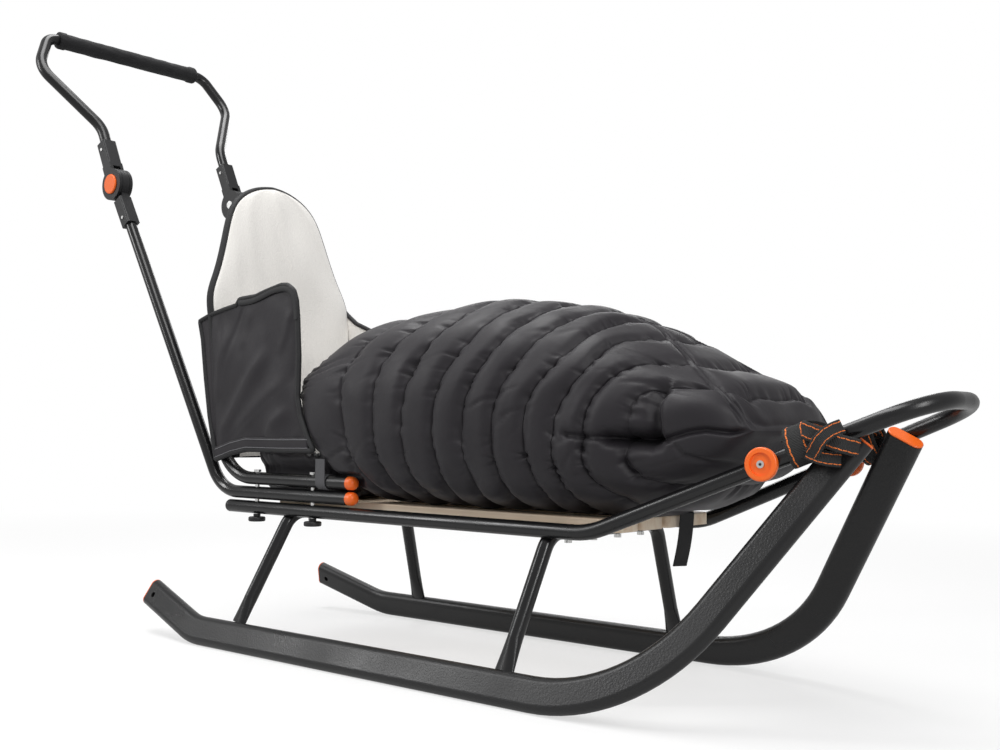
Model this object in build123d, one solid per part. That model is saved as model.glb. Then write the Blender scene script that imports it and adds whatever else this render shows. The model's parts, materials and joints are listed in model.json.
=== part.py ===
"""Child sled: tube runners, slatted seat, padded liner, footmuff and a tilting push handle.

Lengths are millimetres and angles are degrees. Stations (x) count forward from a datum plane
just behind the rear legs, y counts out from the middle, z counts up from the snow.
"""

import math
import os

from build123d import *

# Round tube shared by the seat rails, pusher, backrest, legs and handle
tube_r = 9.0
tube_keep = 0.3
side_y = 119.0

# Runners: flat-oval tube, each in a plane that leans in at the top
runner_depth = 40.0
runner_width = 18.0
runner_round = runner_width / 2
runner_mid = runner_depth / 2
half_track = 186.5
runner_rear_end_x = -190.0
runner_rear_bend_x = -62.4
runner_rear_angle = 18.0
runner_rear_radius = 110.0
runner_set_back = 82.0
runner_front_run = 187.5
runner_front_angle = 58.4
runner_front_radius = 230.0
plug_thick = 2.5
plug_edge = 0.8
hitch_hole_r = 4.0
hitch_hole_back = 16.0

# Seat rails and front hoop: one hairpin tube
rail_z = 190.0
rail_rear_x = -64.0
rail_bend_x = 576.0
rail_bend_radius = 100.0
hoop_tip_x = 945.0
hoop_tip_rise = 147.6
runner_front_end_x = hoop_tip_x - runner_set_back
runner_front_bend_x = runner_front_end_x - runner_front_run
hoop_flat_half = 14.0
rail_runner_keep = 0.5
rail_cap_long = 9.0
rail_cap_round = 5.0

# Pusher: two lower tubes clamped above the rails
tube_pitch = 20.5
pusher_z = rail_z + tube_pitch
pusher_front_x = 184.0
pusher_bend_x = -91.0
pusher_bend_radius = 65.0
pivot_x = -385.0
pivot_z = 697.0

# Backrest frame: hairpin tube clamped above the pusher tubes
backrest_z = pusher_z + tube_pitch
backrest_bend_x = -84.9
backrest_bend_radius = 75.0
backrest_angle = 80.0
backrest_top_z = 470.0
backrest_corner_radius = 40.0
dome_long = 13.0
dome_round = 7.0

# Clamp bolts and knobs that hold the three tubes together
clamp_rear_x = -8.0
clamp_front_x = 112.0
bolt_r = 3.0
bolt_play = 0.3
bolt_head_r = 5.0
bolt_head_high = 3.0
knob_r = 12.0
knob_high = 6.5
knob_stem_r = 5.0
knob_stem_high = 4.0
knob_round = 2.0
bolt_end_in_knob = 3.5

# Leg bows: tubes from runner to runner, pressed flat where the slats lie
bow_run_z = 186.0
leg_corner_y = 109.9
bow_flat_z = 190.0
bow_radius = 30.0
bow_saddle_keep = 0.1
foot_long = 38.0
foot_half_long = 13.5
foot_half_wide = 4.8
foot_depth = 30.0
bow_table = (
    # name, station at the foot, station at the run
    ("rear_bow", 27.0, 58.0),
    ("front_bow", 502.0, 514.0),
)

# Seat slats
slat_gap = 0.3
slat_thick = 14.7
slat_wide = 42.0
slat_rear_x = 10.0
slat_front_x = 600.0
slat_corner = 6.0
slat_edge = 2.0
slat_centres = (-75.0, -25.0, 25.0, 75.0)
screw_r = 2.5
screw_play = 0.3
screw_head_r = 5.0
screw_head_deep = 3.5
nut_r = 4.5
nut_high = 4.0

# Rotary brackets at the pivot of the handle
handle_angle = 64.0
hub_r = 26.0
tongue_thick = 12.0
cheek_gap = 0.5
cheek_thick = 5.5
socket_near = 31.0
socket_far = 82.0
socket_wide = 22.0
socket_edge = 3.0
along_share = 0.9
tube_stop = 38.0
pin_r = 4.0
pin_head_r = 7.0
pin_head_high = 2.0
button_r = 16.0
button_high = 2.8
button_round = 1.4
rivet_r = 2.6
rivet_high = 1.6
rivet_back = 14.0
bracket_half = tongue_thick / 2 + cheek_gap + cheek_thick

# Handle: one bent tube with a foam grip
handle_neck_z = 800.0
handle_neck_radius = 60.0
grip_half = 138.0
handle_table = (
    # station, y beyond the end of the grip, z, bend radius
    (-514.0, 53.0, 902.0, 50.0),
    (-549.0, 19.0, 966.0, 28.0),
)
grip_r = 13.5
grip_collar_r = 15.0
grip_collar_long = 12.0
grip_keep = 0.3

# Orange anchor discs on the rails
disc_set_back = 166.0
disc_r = 17.5
disc_thick = 7.0
disc_round = 2.0
dish_r = 12.0
dish_deep = 2.5
disc_screw_r = 2.5
disc_screw_head_r = 4.0
disc_screw_head_high = 2.2
disc_screw_long = 14.0

# Tow strap: webbing from one disc round its rail, across, and round the other rail
strap_core_r = 3.0
strap_share = 0.45
strap_table = (
    # along the rail, out from its middle, up from its middle
    (21.5, 12.6, -6.0),
    (25.0, 12.9, 13.6),
    (28.0, -13.4, 13.6),
    (30.5, -13.4, -12.9),
    (33.5, 13.4, -12.9),
    (40.0, 13.4, 13.6),
    (56.0, -24.0, 19.0),
)
knot_set_back = 97.0
knot_long = 48.0
knot_wide = 30.0
knot_thick = 13.0
knot_round = 6.0
knot_drop = 2.0

# Strap that hangs from the muff in front of the slats
hanging_core_r = 3.0
hanging_table = (
    # station, y, z
    (613.0, 26.0, 208.4),
    (607.0, 32.0, 182.0),
    (589.0, 48.0, 142.0),
)

# Liner: hooded back panel, seat pad and side wings
panel_angle = 82.0
panel_foot_x = -82.3
panel_foot_z = 258.0
panel_thick = 18.0
panel_table = (
    # height above the foot of the panel, half width
    (0.0, 104.0),
    (46.0, 104.0),
    (66.0, 127.0),
    (212.0, 127.0),
    (262.0, 110.0),
    (312.0, 98.0),
    (362.0, 85.0),
    (400.0, 60.0),
    (418.0, 30.0),
)
panel_top_high = 424.0
wing_inner_y = 128.5
wing_thick = 6.0
wing_right_table = (
    # station, z
    (-84.0, 262.0),
    (-20.0, 278.0),
    (96.0, 283.0),
    (93.0, 375.0),
    (88.0, 423.0),
    (82.0, 478.0),
    (58.0, 498.0),
    (0.0, 492.0),
    (-70.0, 484.0),
    (-126.0, 466.0),
)
wing_left_table = (
    # station, z
    (-84.0, 262.0),
    (-20.0, 278.0),
    (96.0, 283.0),
    (93.0, 375.0),
    (90.0, 430.0),
    (40.0, 443.0),
    (-44.0, 458.0),
    (-80.0, 472.0),
    (-128.0, 510.0),
)
seat_pad_rear_x = -62.0
seat_pad_front_x = 150.0
seat_pad_half = 104.0
seat_pad_top = 256.0
seat_pad_round = 18.0

# Webbing loops that hold the liner to the backrest tubes
loop_station = 137.0
loop_wide = 18.0
loop_thick = 1.3
loop_keep = 0.3
loop_top_z = 262.0

# Footmuff: a quilted bag open towards the seat
muff_rear_x = 80.0
muff_set_back = 179.0
muff_sides = 24
muff_table = (
    # share of the length, half width, bottom, seam height, top, upper and lower curve shares
    (0.0, 128.0, 212.0, 335.0, 420.0, 0.87, 0.77),
    (0.102, 138.0, 207.5, 330.0, 440.0, 0.87, 0.714),
    (0.2478, 146.0, 206.0, 325.0, 460.0, 0.87, 0.667),
    (0.4315, 149.0, 206.0, 322.0, 468.0, 0.87, 0.667),
    (0.6181, 146.0, 206.0, 318.0, 454.0, 0.9, 0.667),
    (0.7464, 138.0, 207.5, 310.0, 427.0, 0.9, 0.714),
    (0.8455, 128.0, 218.0, 304.0, 394.0, 0.83, 0.83),
    (0.9329, 116.0, 250.0, 303.0, 362.0, 0.74, 0.9),
    (0.9767, 104.0, 276.0, 304.0, 338.0, 0.69, 0.9),
    (1.0, 90.0, 299.0, 305.5, 312.0, 0.69, 0.83),
)
muff_wall = 14.0
muff_closed_rows = 4
muff_tuck_table = (
    # back from the front seam, share of the tuck's depth
    (178.0, 0.0),
    (122.0, 1.0),
    (98.0, 0.0),
)
muff_tuck_deep = 26.0
muff_tuck_high = 15.0
muff_tuck_z = 298.0
muff_mouth_table = (
    # station, z of the slanted mouth
    (190.0, 150.0),
    (190.0, 209.0),
    (168.0, 240.0),
    (112.0, 300.0),
    (104.0, 350.0),
    (108.0, 400.0),
    (118.0, 440.0),
    (126.0, 520.0),
)
muff_tube_gap = 1.0
full_turn = 360.0

out_dir = "parts"
os.makedirs(out_dir, exist_ok=True)


def sin_d(angle):
    """Sine of an angle in degrees."""
    return math.sin(math.radians(angle))


def cos_d(angle):
    """Cosine of an angle in degrees."""
    return math.cos(math.radians(angle))


def tan_d(angle):
    """Tangent of an angle in degrees."""
    return math.tan(math.radians(angle))


def bent_rod(points, radii, radius):
    """A round rod that follows straight runs joined by tangent arcs."""
    path = FilletPolyline(*points, radius=radii)
    section = Plane(origin=path @ 0, z_dir=path % 0) * Circle(radius)
    return sweep(section, path=path)


def strap_radii(points, share):
    """Bend radii that use one share of the shorter run on each side of a corner."""
    radii = []
    for before, here, after in zip(points, points[1:], points[2:]):
        first = Vector(*here) - Vector(*before)
        second = Vector(*after) - Vector(*here)
        turn = math.radians(first.get_angle(second))
        radii.append(share * min(first.length, second.length) / math.tan(turn / 2))
    return radii


def other_side(shape):
    """The same piece on the left of the sled."""
    return mirror(shape, about=Plane.XZ)


def upright_rod(radius, x, y, low, high):
    """A vertical round rod between two heights."""
    base = Plane(origin=(x, y, low))
    return extrude(base * Circle(radius), amount=high - low)


def rod_between(start, end, radius):
    """A straight round rod between two points."""
    run = Vector(*end) - Vector(*start)
    base = Plane(origin=start, z_dir=run)
    return extrude(base * Circle(radius), amount=run.length)


# Runner in its own plane: local x runs forward and local y runs up the lean
runner_lean = math.degrees(math.atan((half_track - leg_corner_y) / (bow_run_z - runner_round)))
runner_plane = Plane(
    origin=(0, -half_track, runner_round),
    x_dir=(1, 0, 0),
    z_dir=(0, -cos_d(runner_lean), sin_d(runner_lean)),
)
flat_mid = runner_mid - runner_round
rear_end_v = flat_mid + (runner_rear_bend_x - runner_rear_end_x) * tan_d(runner_rear_angle)
front_end_v = flat_mid + (runner_front_end_x - runner_front_bend_x) * tan_d(runner_front_angle)
runner_points = (
    (runner_rear_end_x, rear_end_v),
    (runner_rear_bend_x, flat_mid),
    (runner_front_bend_x, flat_mid),
    (runner_front_end_x, front_end_v),
)
runner_path = FilletPolyline(*runner_points, radius=(runner_rear_radius, runner_front_radius))
rear_heading = Vector(cos_d(runner_rear_angle), -sin_d(runner_rear_angle), 0)
front_heading = Vector(cos_d(runner_front_angle), sin_d(runner_front_angle), 0)
rear_side = Vector(sin_d(runner_rear_angle), cos_d(runner_rear_angle), 0)
front_side = Vector(-sin_d(runner_front_angle), cos_d(runner_front_angle), 0)
rear_face = Plane(origin=(*runner_points[0], 0), x_dir=rear_side, z_dir=rear_heading)
front_face = Plane(origin=(*runner_points[-1], 0), x_dir=front_side, z_dir=front_heading)
oval = SlotOverall(runner_depth, runner_width)
runner_local = sweep(rear_face * oval, path=runner_path)
hole_at = Vector(*runner_points[0], 0) + rear_heading * hitch_hole_back
hole_plane = Plane(origin=hole_at - Vector(0, 0, runner_width))
hitch_hole = extrude(hole_plane * Circle(hitch_hole_r), amount=runner_depth)
runner_local = runner_local - hitch_hole
rear_plug_local = extrude(rear_face * oval, amount=-plug_thick)
front_plug_local = extrude(front_face * oval, amount=plug_thick)
rear_plug_local = chamfer(rear_plug_local.faces().sort_by(Axis.X)[0].edges(), plug_edge)
front_plug_local = chamfer(front_plug_local.faces().sort_by(Axis.Y)[-1].edges(), plug_edge)
runner_right = runner_plane * runner_local
rear_plug = runner_plane * rear_plug_local
front_plug = runner_plane * front_plug_local

# Seat rails and hoop: the rails taper until they lie against the tops of the runners
touch_x = runner_front_end_x - flat_mid * sin_d(runner_front_angle)
touch_share = (touch_x - rail_bend_x) / (hoop_tip_x - rail_bend_x)
touch_z = rail_z + hoop_tip_rise * touch_share
touch_gap = tube_r + runner_round + rail_runner_keep
runner_y_there = half_track - (touch_z - runner_round) * tan_d(runner_lean)
touch_y = runner_y_there + touch_gap / cos_d(runner_lean)
hoop_corner_y = side_y - (side_y - touch_y) / touch_share
rail_half_points = (
    (rail_rear_x, -side_y, rail_z),
    (rail_bend_x, -side_y, rail_z),
    (hoop_tip_x, -hoop_corner_y, rail_z + hoop_tip_rise),
)
rail_points = rail_half_points + tuple((x, -y, z) for x, y, z in reversed(rail_half_points))
rising_run = Vector(*rail_half_points[2]) - Vector(*rail_half_points[1])
hoop_turn = rising_run.get_angle(Vector(0, 1, 0))
hoop_radius = (hoop_corner_y - hoop_flat_half) / tan_d(hoop_turn / 2)
rail_radii = (rail_bend_radius, hoop_radius, hoop_radius, rail_bend_radius)
rail_hoop = bent_rod(rail_points, rail_radii, tube_r)
rail_keepout = bent_rod(rail_points, rail_radii, tube_r + tube_keep)
rail_saddle = bent_rod(rail_points, rail_radii, tube_r + bow_saddle_keep)
rail_heading = rising_run.normalized()


def rail_point(station):
    """Middle of the right rail at a station on its rising part."""
    start = Vector(*rail_half_points[1])
    return start + rail_heading * ((station - start.X) / rail_heading.X)


cap_plane = Plane(origin=(rail_rear_x, -side_y, rail_z), z_dir=(-1, 0, 0))
rail_cap = extrude(cap_plane * Circle(tube_r), amount=rail_cap_long)
rail_cap = fillet(rail_cap.edges().sort_by(Axis.X)[0], rail_cap_round)

# Pusher tubes
pusher_heading = (Vector(pivot_x, 0, pivot_z) - Vector(pusher_bend_x, 0, pusher_z)).normalized()
handle_heading = Vector(-cos_d(handle_angle), 0, sin_d(handle_angle))
pivot = Vector(pivot_x, -side_y, pivot_z)
pusher_end = pivot - pusher_heading * tube_stop
pusher_points = (
    (pusher_front_x, -side_y, pusher_z),
    (pusher_bend_x, -side_y, pusher_z),
    tuple(pusher_end),
)
pusher_right = bent_rod(pusher_points, (pusher_bend_radius,), tube_r)
pusher_keepout = bent_rod(pusher_points, (pusher_bend_radius,), tube_r + tube_keep)


def dome(x, z):
    """Domed plug on the front end of a clamped tube."""
    base = Plane(origin=(x, -side_y, z), z_dir=(1, 0, 0))
    body = extrude(base * Circle(tube_r), amount=dome_long)
    return fillet(body.edges().sort_by(Axis.X)[-1], dome_round)


pusher_dome = dome(pusher_front_x, pusher_z)

# Backrest frame
back_rise = backrest_top_z - backrest_z
back_top_x = backrest_bend_x - back_rise / tan_d(backrest_angle)
back_half_points = (
    (pusher_front_x, -side_y, backrest_z),
    (backrest_bend_x, -side_y, backrest_z),
    (back_top_x, -side_y, backrest_top_z),
)
back_points = back_half_points + tuple((x, -y, z) for x, y, z in reversed(back_half_points))
back_radii = (
    backrest_bend_radius,
    backrest_corner_radius,
    backrest_corner_radius,
    backrest_bend_radius,
)
backrest_frame = bent_rod(back_points, back_radii, tube_r)
back_keepout = bent_rod(back_points, back_radii, tube_r + tube_keep)
back_dome = dome(pusher_front_x, backrest_z)

# Clamp bolts and knobs
knob_top = rail_z - tube_r - tube_keep
knob_disc_top = knob_top - knob_stem_high
knob_low = knob_disc_top - knob_high
bolt_low = knob_low + bolt_end_in_knob
bolt_high = backrest_z + tube_r + tube_keep
bolts = []
bolt_holes = []
knobs = []
for station in (clamp_rear_x, clamp_front_x):
    bolt = upright_rod(bolt_r, station, -side_y, bolt_low, bolt_high)
    bolt += upright_rod(bolt_head_r, station, -side_y, bolt_high, bolt_high + bolt_head_high)
    bolts.append(bolt)
    hole = upright_rod(bolt_r + bolt_play, station, -side_y, bolt_low - bolt_play, bolt_high)
    bolt_holes.append(hole)
    disc = upright_rod(knob_r, station, -side_y, knob_low, knob_disc_top)
    disc = fillet(disc.edges().filter_by(GeomType.CIRCLE), knob_round)
    stem = upright_rod(knob_stem_r, station, -side_y, knob_disc_top, knob_top)
    knobs.append(disc + stem - hole)
bolts += [other_side(b) for b in bolts]
knobs += [other_side(k) for k in knobs]
right_holes = bolt_holes[0] + bolt_holes[1]
all_holes = right_holes + other_side(right_holes)
rail_hoop = rail_hoop - all_holes
backrest_frame = backrest_frame - all_holes
pusher_right = pusher_right - right_holes

# Leg bows
bows = {}
for name, foot_x, run_x in bow_table:
    foot_z = runner_round + foot_depth * cos_d(runner_lean)
    foot_y = half_track - foot_depth * sin_d(runner_lean)
    foot = Vector(foot_x, -foot_y, foot_z)
    corner = Vector(run_x, -leg_corner_y, bow_run_z)
    leg = (corner - foot).normalized()
    ankle = foot + leg * foot_long
    half_points = (tuple(ankle), tuple(corner))
    points = half_points + tuple((x, -y, z) for x, y, z in reversed(half_points))
    bow = bent_rod(points, (bow_radius, bow_radius), tube_r)
    foot_plane = Plane(origin=foot, x_dir=(1, 0, 0), z_dir=leg)
    ankle_plane = Plane(origin=ankle, x_dir=(1, 0, 0), z_dir=leg)
    foot_section = foot_plane * Ellipse(foot_half_long, foot_half_wide)
    crushed = loft([foot_section, ankle_plane * Circle(tube_r)])
    bow = bow + crushed + other_side(crushed)
    above = Plane(origin=(run_x, 0, bow_flat_z)) * Rectangle(half_track, half_track * 2)
    bow = bow - extrude(above, amount=tube_r)
    bow = bow - rail_saddle - runner_right - other_side(runner_right)
    bows[name] = bow

# Slats with their screws and nuts
slat_low = bow_flat_z + slat_gap
slat_top = slat_low + slat_thick
slat_mid_x = (slat_rear_x + slat_front_x) / 2
slat_long = slat_front_x - slat_rear_x
nut_top = bow_run_z - tube_r - tube_keep
slats = []
screws = []
nuts = []
screw_holes = []
for centre in slat_centres:
    blank = Plane(origin=(slat_mid_x, centre, slat_low)) * RectangleRounded(
        slat_long, slat_wide, slat_corner
    )
    slat = extrude(blank, amount=slat_thick)
    slat = fillet(slat.faces().sort_by(Axis.Z)[-1].edges(), slat_edge)
    for name, foot_x, run_x in bow_table:
        shank = upright_rod(screw_r, run_x, centre, nut_top - nut_high, slat_top - screw_head_deep)
        head = upright_rod(
            screw_head_r, run_x, centre, slat_top - screw_head_deep, slat_top - screw_play
        )
        screws.append(shank + head)
        hole = upright_rod(screw_r + screw_play, run_x, centre, nut_top - nut_high, slat_top)
        recess_low = slat_top - screw_head_deep - screw_play
        recess = upright_rod(screw_head_r + screw_play, run_x, centre, recess_low, slat_top)
        nuts.append(upright_rod(nut_r, run_x, centre, nut_top - nut_high, nut_top) - hole)
        slat = slat - hole - recess
        bows[name] = bows[name] - hole
    slats.append(slat)


def bracket_bar(heading, near, far, across, thick, middle):
    """A square bar along a heading from the pivot, between two distances and at one y offset."""
    base = Plane(
        origin=pivot + heading * near + Vector(0, middle, 0),
        x_dir=(0, 1, 0),
        z_dir=heading,
    )
    return extrude(base * Rectangle(thick, across), amount=far - near)


def hub_disc(radius, thick, middle):
    """A disc on the pivot axis, centred at one y offset."""
    base = Plane(origin=pivot + Vector(0, middle - thick / 2, 0), z_dir=(0, 1, 0))
    return extrude(base * Circle(radius), amount=thick)


def socket_body(heading, thick):
    """The square sleeve that takes the end of a tube."""
    body = bracket_bar(heading, socket_near, socket_far, socket_wide, thick, 0)
    edges = body.edges().filter_by(lambda e: abs((e % 0).dot(heading)) > along_share)
    return fillet(edges, socket_edge)


def rivet_pair(heading):
    """Rivet heads on the outer and inner faces of a socket."""
    spot = pivot + heading * (socket_far - rivet_back)
    heads = []
    half = socket_half[heading_key(heading)]
    for side in (-1, 1):
        face = Plane(origin=spot + Vector(0, side * half, 0), z_dir=(0, side, 0))
        heads.append(extrude(face * Circle(rivet_r), amount=rivet_high))
    return heads


def heading_key(heading):
    """Which socket a heading belongs to."""
    return "upper" if heading.Z > 0 else "lower"


lower_heading = pusher_heading * -1
socket_half = {"lower": socket_wide / 2, "upper": bracket_half}
pin_hole = hub_disc(pin_r + tube_keep, half_track, 0)
lower_bore = rod_between(
    tuple(pivot + lower_heading * tube_stop),
    tuple(pivot + lower_heading * (socket_far + tube_r)),
    tube_r + tube_keep,
)
lower_bracket = socket_body(lower_heading, socket_wide)
lower_bracket += bracket_bar(lower_heading, 0, tube_stop, socket_wide, tongue_thick, 0)
lower_bracket += hub_disc(hub_r, tongue_thick, 0)
lower_bracket = lower_bracket - pin_hole - lower_bore
lower_rivets = rivet_pair(lower_heading)

upper_bore = rod_between(
    tuple(pivot + handle_heading * tube_stop),
    tuple(pivot + handle_heading * (socket_far + tube_r)),
    tube_r + tube_keep,
)
cheek_mid = tongue_thick / 2 + cheek_gap + cheek_thick / 2
upper_bracket = socket_body(handle_heading, bracket_half * 2)
for middle in (-cheek_mid, cheek_mid):
    upper_bracket += bracket_bar(handle_heading, 0, tube_stop, socket_wide, cheek_thick, middle)
    upper_bracket += hub_disc(hub_r, cheek_thick, middle)
upper_bracket = upper_bracket - pin_hole - upper_bore
upper_rivets = rivet_pair(handle_heading)

button = hub_disc(button_r, button_high, -bracket_half - tube_keep - button_high / 2)
button = fillet(button.faces().sort_by(Axis.Y)[0].edges(), button_round)
pin_inner = bracket_half + tube_keep
pin_long = bracket_half + pin_inner
pivot_pin = hub_disc(pin_r, pin_long, pin_inner - pin_long / 2)
pivot_pin += hub_disc(pin_head_r, pin_head_high, pin_inner + pin_head_high / 2)

# Handle tube and grip
handle_start = pivot + handle_heading * tube_stop
neck_x = pivot_x - (handle_neck_z - pivot_z) / tan_d(handle_angle)
handle_half = [tuple(handle_start), (neck_x, -side_y, handle_neck_z)]
handle_half += [(x, -grip_half - more, z) for x, more, z, r in handle_table]
handle_points = handle_half + [(x, -y, z) for x, y, z in reversed(handle_half)]
bends = [handle_neck_radius] + [r for x, more, z, r in handle_table]
handle_tube = bent_rod(handle_points, bends + bends[::-1], tube_r)
grip_x, corner_more, grip_z, grip_bend = handle_table[-1]
grip_plane = Plane(origin=(grip_x, -grip_half, grip_z), z_dir=(0, 1, 0))
grip = extrude(grip_plane * Circle(grip_r), amount=grip_half * 2)
for low in (-grip_half, grip_half - grip_collar_long):
    collar_plane = Plane(origin=(grip_x, low, grip_z), z_dir=(0, 1, 0))
    grip += extrude(collar_plane * Circle(grip_collar_r), amount=grip_collar_long)
grip = grip - extrude(grip_plane * Circle(tube_r + grip_keep), amount=grip_half * 2)

# Anchor discs and their screws
outward = Vector(0, -1, 0) + rail_heading * rail_heading.Y
outward = outward.normalized()
upward = outward.cross(rail_heading)
disc_at = rail_point(hoop_tip_x - disc_set_back)
disc_base = disc_at + outward * (tube_r + tube_keep)
disc_plane = Plane(origin=disc_base, x_dir=rail_heading, z_dir=outward)
disc = extrude(disc_plane * Circle(disc_r), amount=disc_thick)
disc = fillet(disc.edges().filter_by(GeomType.CIRCLE), disc_round)
dish_plane = disc_plane.offset(disc_thick - dish_deep)
disc = disc - extrude(dish_plane * Circle(dish_r), amount=dish_deep)
screw_plane = disc_plane.offset(-disc_screw_long / 2)
disc_hole = extrude(
    screw_plane * Circle(disc_screw_r + screw_play), amount=disc_screw_long
)
disc = disc - disc_hole
disc_head_low = disc_thick - dish_deep + screw_play
disc_screw = extrude(
    disc_plane.offset(disc_head_low) * Circle(disc_screw_head_r), amount=disc_screw_head_high
)
disc_screw += extrude(
    screw_plane.offset(screw_play) * Circle(disc_screw_r),
    amount=disc_screw_long / 2 - screw_play + disc_head_low,
)
rail_hoop = rail_hoop - disc_hole - other_side(disc_hole)

# Tow strap
strap_half = []
for along, out, up in strap_table:
    spot = disc_at + rail_heading * along + outward * out + upward * up
    strap_half.append(tuple(spot))
strap_points = strap_half + [(x, -y, z) for x, y, z in reversed(strap_half)]
tow_radii = strap_radii(strap_points, strap_share)
tow_strap = bent_rod(strap_points, tow_radii, strap_core_r)
print("tow strap bend radii", [round(r, 1) for r in tow_radii])
knot_at = rail_point(hoop_tip_x - knot_set_back) + outward * (tube_r + tube_keep)
knot_at = knot_at - upward * knot_drop
knot_plane = Plane(origin=knot_at, x_dir=rail_heading, z_dir=outward)
knot = extrude(knot_plane * RectangleRounded(knot_long, knot_wide, knot_round), amount=knot_thick)

# Hanging strap
hanging_radii = strap_radii(hanging_table, strap_share)
hanging_strap = bent_rod(hanging_table, hanging_radii, hanging_core_r)
print("hanging strap bend radii", [round(r, 1) for r in hanging_radii])

# Liner back panel with its hood
panel_plane = Plane(
    origin=(panel_foot_x, 0, panel_foot_z),
    x_dir=(0, 1, 0),
    z_dir=(sin_d(panel_angle), 0, cos_d(panel_angle)),
)
panel_right = [(half, high) for high, half in panel_table]
panel_left = [(-half, high) for high, half in reversed(panel_table)]
panel_outline = panel_right + [(0, panel_top_high)] + panel_left
panel_face = make_face(Polyline(*panel_outline, close=True))
back_panel = extrude(panel_plane * panel_face, amount=panel_thick) - back_keepout

# Side wings
def wing(table, side):
    """A flat padded wing outside one backrest upright."""
    plane = Plane(origin=(0, side * wing_inner_y, 0), x_dir=(1, 0, 0), z_dir=(0, -1, 0))
    face = make_face(Polyline(*table, close=True))
    return extrude(plane * face, amount=-side * wing_thick)


wing_right = wing(wing_right_table, -1)
wing_left = wing(wing_left_table, 1)

# Seat pad
pad_low = slat_top + tube_keep
pad_mid = (seat_pad_rear_x + seat_pad_front_x) / 2
pad_long = seat_pad_front_x - seat_pad_rear_x
pad_face = Plane(origin=(pad_mid, 0, pad_low)) * RectangleRounded(
    pad_long, seat_pad_half * 2, seat_pad_round
)
seat_pad = extrude(pad_face, amount=seat_pad_top - pad_low)
seat_pad = fillet(seat_pad.faces().sort_by(Axis.Z)[-1].edges(), seat_pad_round)

# Webbing loops round the backrest tubes
loop_inner = tube_r + loop_keep
loop_outer = loop_inner + loop_thick
loop_plane = Plane(origin=(loop_station - loop_wide / 2, -side_y, backrest_z), z_dir=(1, 0, 0))
loop = extrude(loop_plane * Circle(loop_outer), amount=loop_wide)
tail_high = loop_top_z - backrest_z
tail_y = -side_y - loop_outer + loop_thick / 2
tail_plane = Plane(origin=(loop_station, tail_y, backrest_z))
tail_face = tail_plane * Rectangle(loop_wide, loop_thick)
loop += extrude(tail_face, amount=tail_high)
loop = loop - extrude(loop_plane * Circle(loop_inner), amount=loop_wide)

# Footmuff
def curve_power(value, power):
    """A power that keeps the sign, which makes a circle squarer."""
    return math.copysign(abs(value) ** power, value)


def muff_section(station, half, low, seam, high, upper_power, lower_power):
    """One upright section of the footmuff: a squarish ring, wider than it is high."""
    corners = []
    for number in range(muff_sides):
        angle = full_turn * number / muff_sides
        over = sin_d(angle) >= 0
        power = upper_power if over else lower_power
        reach = high - seam if over else seam - low
        y = half * curve_power(cos_d(angle), power)
        z = seam + reach * curve_power(sin_d(angle), power)
        corners.append((station, y, z))
    return make_face(Polyline(*corners, close=True))


muff_front_x = hoop_tip_x - muff_set_back
muff_long = muff_front_x - muff_rear_x
muff_rows = [(muff_rear_x + share * muff_long, *rest) for share, *rest in muff_table]
muff_outer = loft([muff_section(*row) for row in muff_rows], ruled=True)
inner_rows = [
    (station, half - muff_wall, low + muff_wall, seam, high - muff_wall, up_power, low_power)
    for station, half, low, seam, high, up_power, low_power in muff_rows[:-muff_closed_rows]
]
muff_inner = loft([muff_section(*row) for row in inner_rows], ruled=True)
mouth_rear = muff_rear_x - muff_wall
mouth_points = (
    [(mouth_rear, muff_mouth_table[0][1])]
    + list(muff_mouth_table)
    + [(mouth_rear, muff_mouth_table[-1][1])]
)
mouth_plane = Plane(origin=(0, half_track, 0), x_dir=(1, 0, 0), z_dir=(0, -1, 0))
mouth_face = make_face(Polyline(*mouth_points, close=True))
mouth_cut = extrude(mouth_plane * mouth_face, amount=half_track * 2)
tube_zone_long = pusher_front_x + dome_long + muff_tube_gap - mouth_rear
tube_zone_top = backrest_z + tube_r + muff_tube_gap
tube_zone_face = Plane(
    origin=(mouth_rear + tube_zone_long / 2, -half_track, rail_z)
) * Rectangle(tube_zone_long, (half_track - side_y + tube_r + muff_tube_gap) * 2)
tube_zone = extrude(tube_zone_face, amount=tube_zone_top - rail_z)
footmuff = muff_outer - muff_inner - mouth_cut - tube_zone - other_side(tube_zone) - rail_keepout
tuck_half = muff_rows[-muff_closed_rows][1]
tuck_points = [(muff_front_x - muff_tuck_table[0][0], -half_track)]
for back, share in muff_tuck_table:
    tuck_points.append((muff_front_x - back, -tuck_half + muff_tuck_deep * share))
tuck_points.append((muff_front_x - muff_tuck_table[-1][0], -half_track))
tuck_plane = Plane(origin=(0, 0, muff_tuck_z - muff_tuck_high / 2))
tuck_face = make_face(Polyline(*tuck_points, close=True))
tuck = extrude(tuck_plane * tuck_face, amount=muff_tuck_high)
footmuff = footmuff - tuck - other_side(tuck)

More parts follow.
